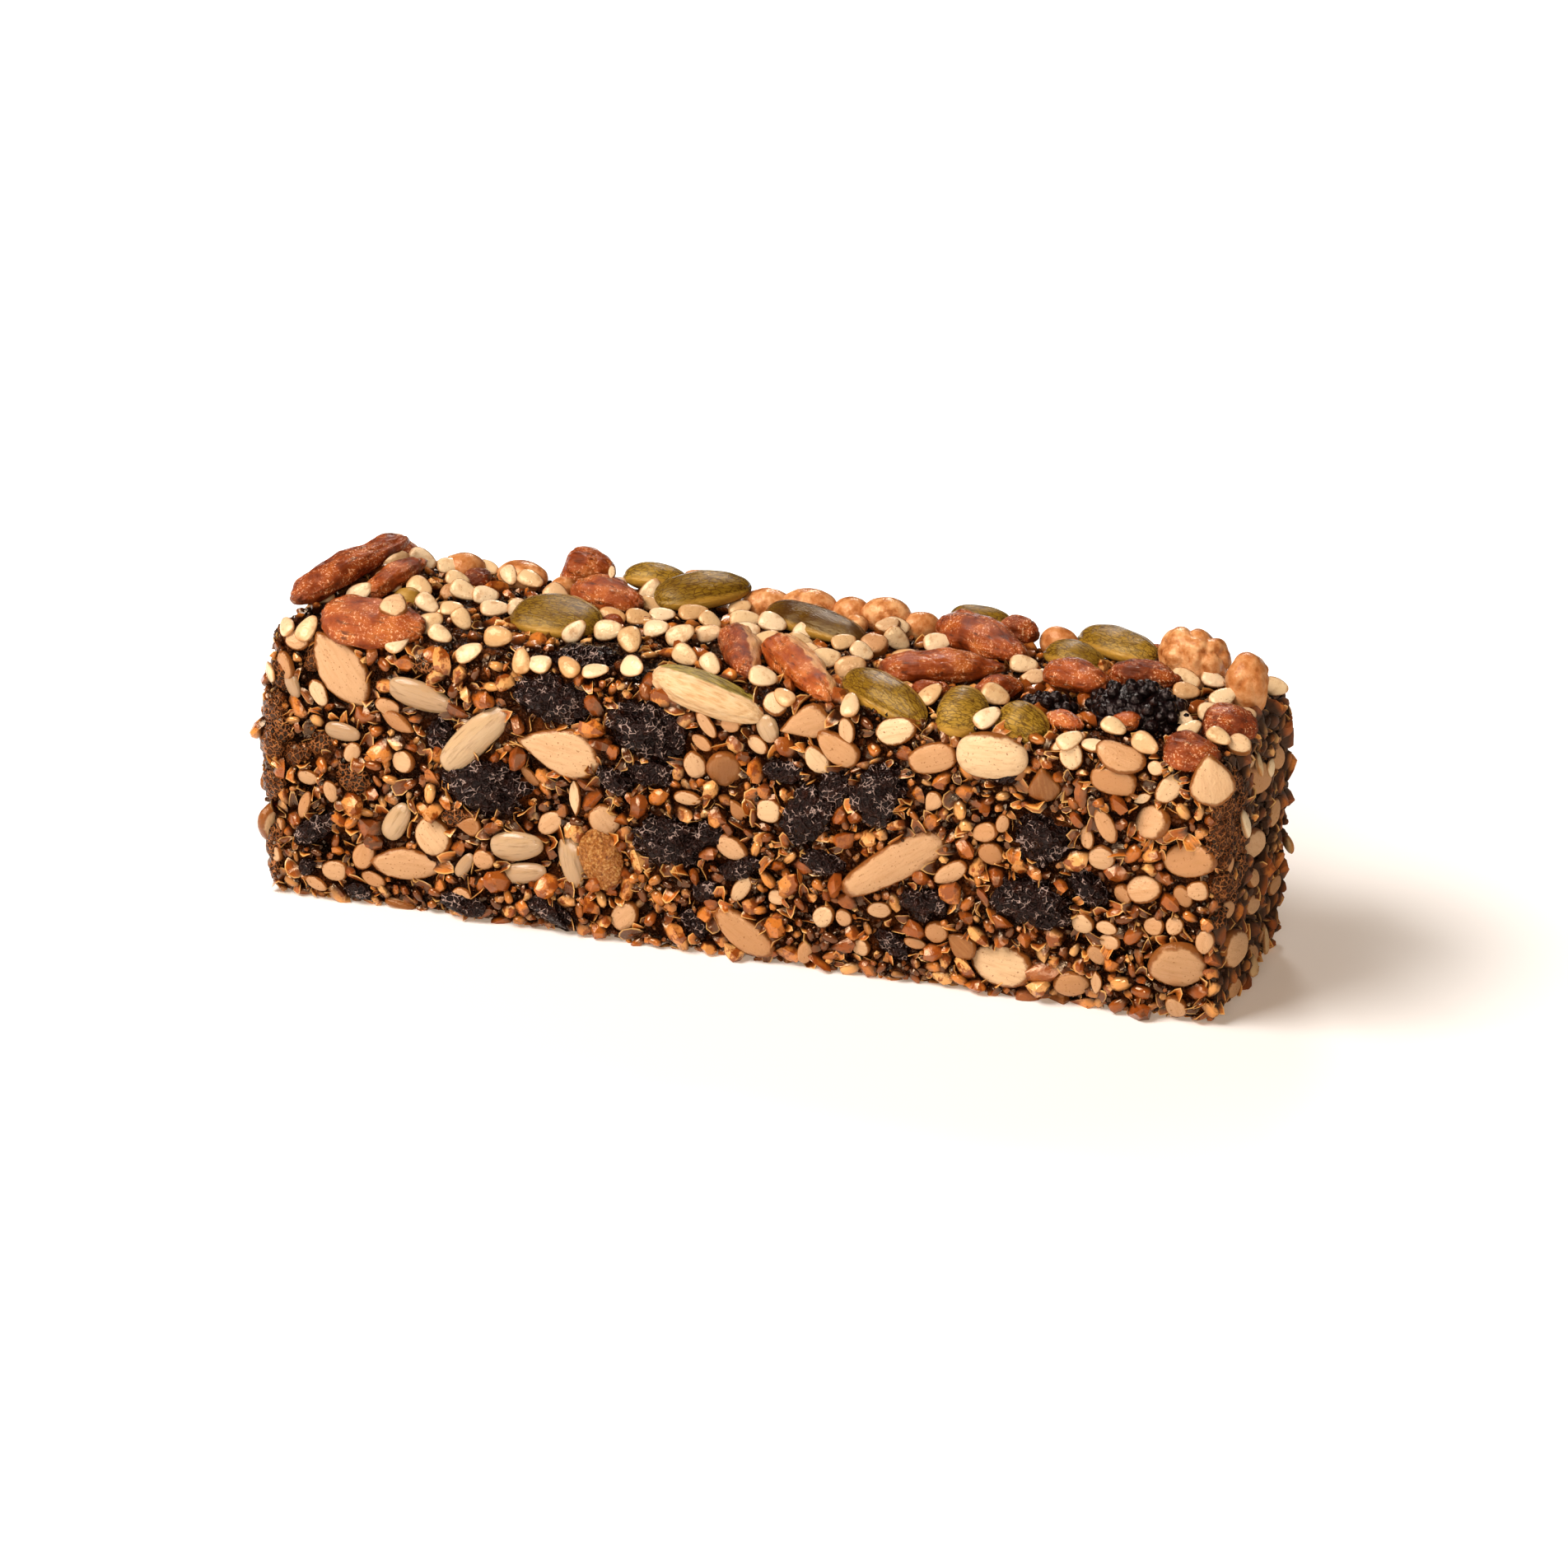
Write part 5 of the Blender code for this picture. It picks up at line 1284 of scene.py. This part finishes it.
toppings = dict(
    almond=dict(rows=almonds, rings=56, sides=52, blunt=0.6, relief=almondRelief),
    pumpkin_seed=dict(rows=pumpkinSeeds, rings=44, sides=44, blunt=0.3, relief=pumpkinRelief),
    cut_seed=dict(rows=cutSeeds, rings=40, sides=44, blunt=0.2),
    dried_fruit=dict(rows=driedFruit, rings=88, sides=84, blunt=0.2, relief=fruitRelief),
    walnut=dict(rows=walnuts, rings=72, sides=64, blunt=0.3, relief=walnutRelief),
)
# Almonds that show their pale inside, and how much of it, and the pumpkin seed that is split
peeled = {"almond2": 1.0, "almond7": 0.8, "almond8": 0.9}
split = "pumpkin_seed5"


def makeToppings():
    for kind, look in toppings.items():
        grid = closedGrid(look["rings"], look["sides"])
        a, b, _ = grid
        rim = np.abs(np.cos(b)) * np.sin(a) ** 0.2
        for number, row in enumerate(look["rows"], 1):
            name = f"{kind}{number}"
            middle, halves, axes = rowFrame(row)
            body = toppingBody(grid, halves, look["blunt"], row[6])
            outward = body / np.maximum(halves, 0.1) ** 2
            outward /= np.linalg.norm(outward, axis=1, keepdims=True)
            if "relief" in look:
                body = body + outward * look["relief"](body, number, b)[:, None]
            scatter(
                name, grid, body[None], middle[None], axes[None], pick=np.array([row[5]]),
                kind="splitSeed" if name == split else kind, nodes=(f"{kind}_{number}",),
                rim=rim, along=-np.cos(a), across=body[:, 1] / halves[1], peel=np.array([peeled.get(name, 0.0)]),
            )


def putFruitBeads():
    # Glossy beads over the dark fruit on an even spiral: height 1 - 2 (i + 0.5) / n, turned by the golden angle
    grid = closedGrid(7, 9)
    goldenAngle = 2.39996
    for number, row in enumerate(driedFruit, 1):
        middle, halves, axes = rowFrame(row)
        count = int(3.4 * halves[0] * halves[1])
        level = 1 - 2 * (np.arange(count) + 0.5) / count
        turn = np.arange(count) * goldenAngle
        ring = np.sqrt(1 - level * level)
        ball = np.stack([ring * np.cos(turn), ring * np.sin(turn), level], -1)
        ball += draw.normal(0, 0.035, ball.shape)
        form = seedForm(grid, draw.uniform(0.5, 0.85, (count, 1)) * np.ones(3), 0.0, 1.0)
        spots = middle + (ball * (halves - 0.3)) @ axes
        scatter(f"fruitBeads{number}", grid, form, spots, np.broadcast_to(axes, (count, 3, 3)), kind="fruitBeads")


def makeFloor():
    half = stageLook["floorSize"] * mm / 2
    mesh = bpy.data.meshes.new("floor")
    mesh.from_pydata([(-half, -half, 0), (half, -half, 0), (half, half, 0), (-half, half, 0)], [], [(0, 1, 2, 3)])
    mesh.materials.append(finishes["paleFloor"])
    link("floor", mesh)


makeFloor()
makeCore()
groups = [cutPieces(), glassySeeds(), raisinPieces(), crustLumps(), amberPiece(), *placeTopBits(), sesameSeeds()]
places, reaches = (np.concatenate(part) for part in zip(*groups))
print("large pieces are in place")
# Small pieces keep this much farther from the large ones than from each other
keepOff = 1.18
smallPieces((places, reaches * keepOff))
crumbPieces((places, reaches))
print("small pieces are in place")
makeToppings()
putFruitBeads()
print("toppings are in place")
